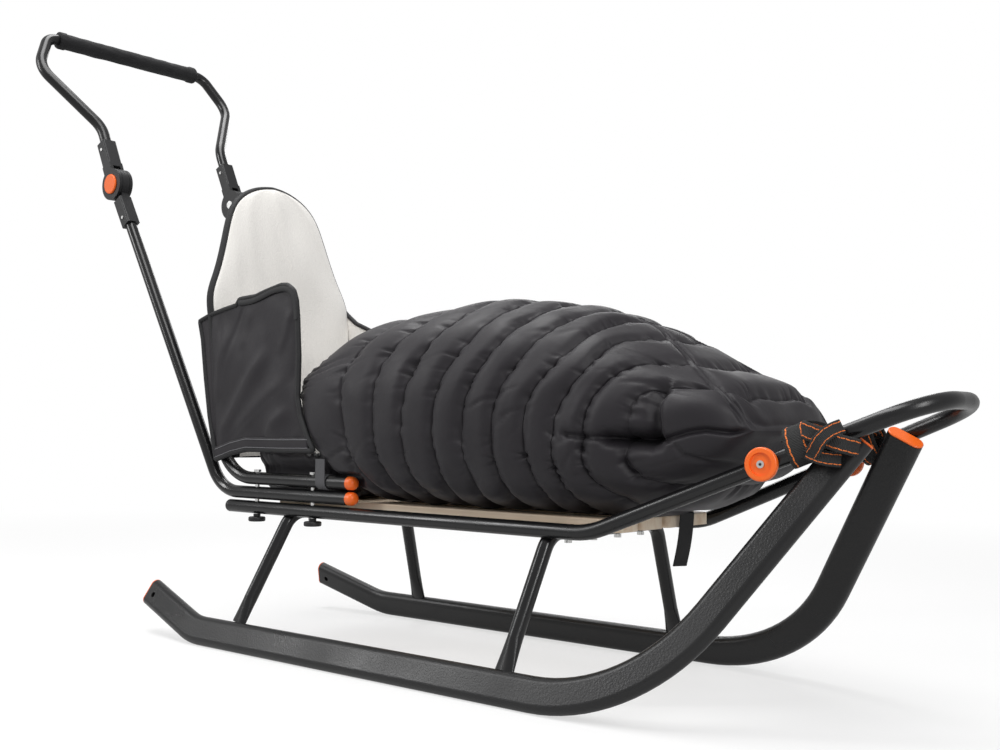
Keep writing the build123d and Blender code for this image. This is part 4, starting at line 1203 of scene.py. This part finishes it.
bridge = np.stack([
    bridge_end[0] + 0 * sag,
    bridge_end[1] * (1 - 2 * sag),
    bridge_end[2] - BRIDGE_SAG * np.sin(math.pi * sag),
], -1)
half_path = np.concatenate([wrap_path, leave])
leave_across = np.broadcast_to(unit(RAIL_HEADING + RAIL_UP * 0.4), leave.shape)
half_across = np.concatenate([wrap_across, leave_across])
whole_path = np.concatenate([half_path, bridge, (half_path * MIRROR)[::-1]])
bridge_across = np.broadcast_to(BRIDGE_ACROSS, bridge.shape)
whole_across = np.concatenate([half_across, bridge_across, (half_across * MIRROR)[::-1]])
even = np.linspace(0, len(whole_path) - 1, STRAP_POINTS)
old_steps = np.arange(len(whole_path))
strap_rows = np.concatenate([whole_path, whole_across], 1)
strap_rows = np.stack([np.interp(even, old_steps, column) for column in strap_rows.T], 1)
strap_rows[:, :3] = resample(strap_rows[:, :3], len(strap_rows))
for _ in range(SMOOTHING_ROUNDS):
    # each point moves to the mean of itself and its neighbours, which rounds the folds
    strap_rows[1:-1] = strap_rows[1:-1] / 2 + (strap_rows[:-2] + strap_rows[2:]) / 4
whole_path = strap_rows[:, :3]
whole_across = strap_rows[:, 3:]
tow_strap = ribbon("tow_strap_webbing", placed(whole_path), whole_across, STRAP_WIDTH, STRAP_THICK)

# %% [markdown]
# ## The knot
# The slack of the strap is knotted outside the rail. A flat knot reads as three bands that cross:
# one over the top that ends in the folded tip, one that comes up from below, and one across both.

# %% Knot
KNOT_BANDS = (
    # width, then the middle line: along, up and out from the rail's axis, in metres
    (0.0180, [(0.051, 0.019, 0.0100), (0.057, 0.014, 0.0150), (0.066, 0.006, 0.0175),
              (0.080, -0.006, 0.0190), (0.092, -0.015, 0.0170), (0.099, -0.020, 0.0130)]),
    (0.0155, [(0.051, -0.010, 0.0135), (0.058, -0.007, 0.0180), (0.068, -0.001, 0.0235),
              (0.080, 0.004, 0.0220), (0.091, 0.006, 0.0130)]),
    (0.0150, [(0.050, -0.005, 0.0130), (0.056, -0.011, 0.0150), (0.064, -0.017, 0.0150),
              (0.078, -0.024, 0.0110)]),
)
KNOT_THICK = 0.0030
knot_pieces = []
for number, (width, rows) in enumerate(KNOT_BANDS):
    along, up, out = np.array(rows).T
    line = smooth_path(by_rail(along, out, up), 60)
    across = np.cross(unit(np.gradient(line, axis=0)), RAIL_OUT)
    name = f"tow_strap_knot_band_{number + 1}"
    knot_pieces.append(ribbon(name, placed(line), across, width, KNOT_THICK))
print("knot bands:", len(knot_pieces))

# %% [markdown]
# ## The sockets of the anchor screws, as painted shade
# Each anchor screw has a socket in its head, a hollow that looks dark because it lies in shade. We read
# where the head ends from the CAD mesh and lay a short dark plug on it, a fraction of a millimetre proud:
# painted shade in place of the hollow, so no hole has to be cut.

# %% Painted shade in the screw sockets
SOCKET_RADIUS, SOCKET_DEEP, SOCKET_PROUD = 0.0016, 0.0010, 0.0002
screw_mesh = bpy.data.objects["anchor_screws"].data
screw_points = np.empty(len(screw_mesh.vertices) * 3, dtype=np.float32)
screw_mesh.vertices.foreach_get("co", screw_points)
screw_points = screw_points.reshape(-1, 3).astype(float)
disc_middle = placed(DISC_AT[None])[0]
right_points = screw_points[screw_points[:, 1] < 0]
head_out = float(((right_points - disc_middle) @ RAIL_OUT).max())
socket_line = disc_middle + np.outer((head_out - SOCKET_DEEP, head_out + SOCKET_PROUD), RAIL_OUT)
socket_shade_plugs = []
for side_name, line in (("right", socket_line), ("left", socket_line * MIRROR)):
    name = "anchor_screw_socket_" + side_name
    # each plug is a dark disc of painted shade where the socket's hollow would be
    socket_shade_plugs.append(sweep(name, line, (0, 0, 1), round_section(SOCKET_RADIUS, 12)))
print("screw sockets", round(head_out * 1000, 2), "mm out from the rail's axis")

# %% [markdown]
# ## The hanging strap
# The loose end of the footmuff's strap hangs through the gap in front of the slats. Three points
# are enough for it, because a short free strap bends once and then hangs straight.

# %% Hanging strap
HANGING_WIDTH, HANGING_THICK = 0.0175, 0.0018
hanging_points = np.array([(0.613, 0.026, 0.2084), (0.607, 0.032, 0.182), (0.589, 0.048, 0.142)])
hanging_line = smooth_path(hanging_points, 50)
hanging_across = np.broadcast_to(unit(np.array((0.62, 0.78, 0.0))), hanging_line.shape)
hanging_strap = ribbon(
    "hanging_strap_webbing", placed(hanging_line), hanging_across, HANGING_WIDTH, HANGING_THICK)

# %% [markdown]
# ## The foam grip
# The grip is a foam sleeve with a thicker collar at each end. It is a profile turned round the
# handle: the radius changes along it, and a ripple keeps the foam from looking machined.

# %% Grip
GRIP_AT = np.array((-0.549, 0.0, 0.966))
GRIP_HALF = 0.138
FOAM_RADIUS, COLLAR_THICKER = 0.0133, 0.0014
KNURL, FOAM_UNEVEN = 0.00022, 0.00018
y_grip, a_grip = np.meshgrid(
    np.linspace(-GRIP_HALF, GRIP_HALF, 240), np.arange(56) / 56 * 2 * math.pi, indexing="ij")
from_centre = np.abs(y_grip)
collar = ease(from_centre, 0.1245, 0.1265) * (1 - ease(from_centre, 0.1365, 0.1380) * 0.35)
knurl = KNURL * np.sin(a_grip * 28) * np.sin(y_grip * 900)
uneven = FOAM_UNEVEN * ripple(a_grip * 2, y_grip * 60, seed=71)
grip_r = FOAM_RADIUS + COLLAR_THICKER * collar + knurl + uneven
grip = GRIP_AT + np.stack([grip_r * np.cos(a_grip), y_grip, grip_r * np.sin(a_grip)], -1)
foam_grip = grid_piece(
    "foam_grip_sleeve", placed(grip), wrap=True, flip=True,
    uv=np.stack([a_grip, y_grip], -1), caps=True)
print("grip", grip.shape[:2])

# %% [markdown]
# ## Hand the pieces over
# Each new piece gets its finish and rides on its body of the model. Where it stands for a CAD part,
# that part is hidden.

# %% Finishes and bodies
plan = [
    # piece, body, look, slot, CAD node that it stands for
    (footmuff, "sled", "black_nylon", "black_nylon", "footmuff"),
    (muff_lining, "sled", "cream_fleece", "cream_fleece", "footmuff"),
    (muff_binding, "sled", "black_binding", "black_nylon", "footmuff"),
    (hood_front, "sled", "cream_fleece", "cream_fleece", "liner_back_panel"),
    (hood_back, "sled", "black_nylon", "black_nylon", "liner_back_panel"),
    (hood_edge, "sled", "cream_fleece", "cream_fleece", "liner_back_panel"),
    (hood_piping, "sled", "black_binding", "black_nylon", "liner_back_panel"),
    (seat_pad, "sled", "black_nylon", "black_nylon", "liner_seat_pad"),
    (tow_strap, "sled", "black_webbing", "black_webbing", "tow_strap"),
    (hanging_strap, "sled", "black_binding", "black_webbing", "hanging_strap"),
    (foam_grip, "handle", "foam_grip", "foam_grip", "handle_grip"),
]
plan += [(band, "sled", "black_webbing", "black_webbing", "tow_strap_knot") for band in knot_pieces]
# the dark plugs are painted shade for the hollows of the screw sockets
plan += [(socket, "sled", "black_plastic", "black_plastic", "") for socket in socket_shade_plugs]
for key, piece in wing_pieces.items():
    wing_name, part = key.split("_")
    look, slot_name = {
        "outer": ("black_nylon", "black_nylon"),
        "inner": ("cream_fleece", "cream_fleece"),
        "piping": ("black_binding", "black_nylon"),
        "hem": ("black_nylon", "black_nylon"),
        "thread0": ("grey_thread", "grey_webbing"),
        "thread1": ("grey_thread", "grey_webbing"),
        "band": ("black_binding", "black_nylon"),
    }[part]
    plan.append((piece, "sled", look, slot_name, "liner_wing_" + wing_name))
for piece, body_name, look, slot_name, node_name in plan:
    piece.data.materials.clear()
    piece.data.materials.append(looks[look])
    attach(piece, body_name)
    if node_name:
        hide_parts(node_name)
tuple(placed(whole_path[:1])[0])
placed(whole_path).tolist()
tuple(placed(hanging_line[:1])[0])
placed(hanging_line).tolist()


print("pieces handed over:", len(plan))
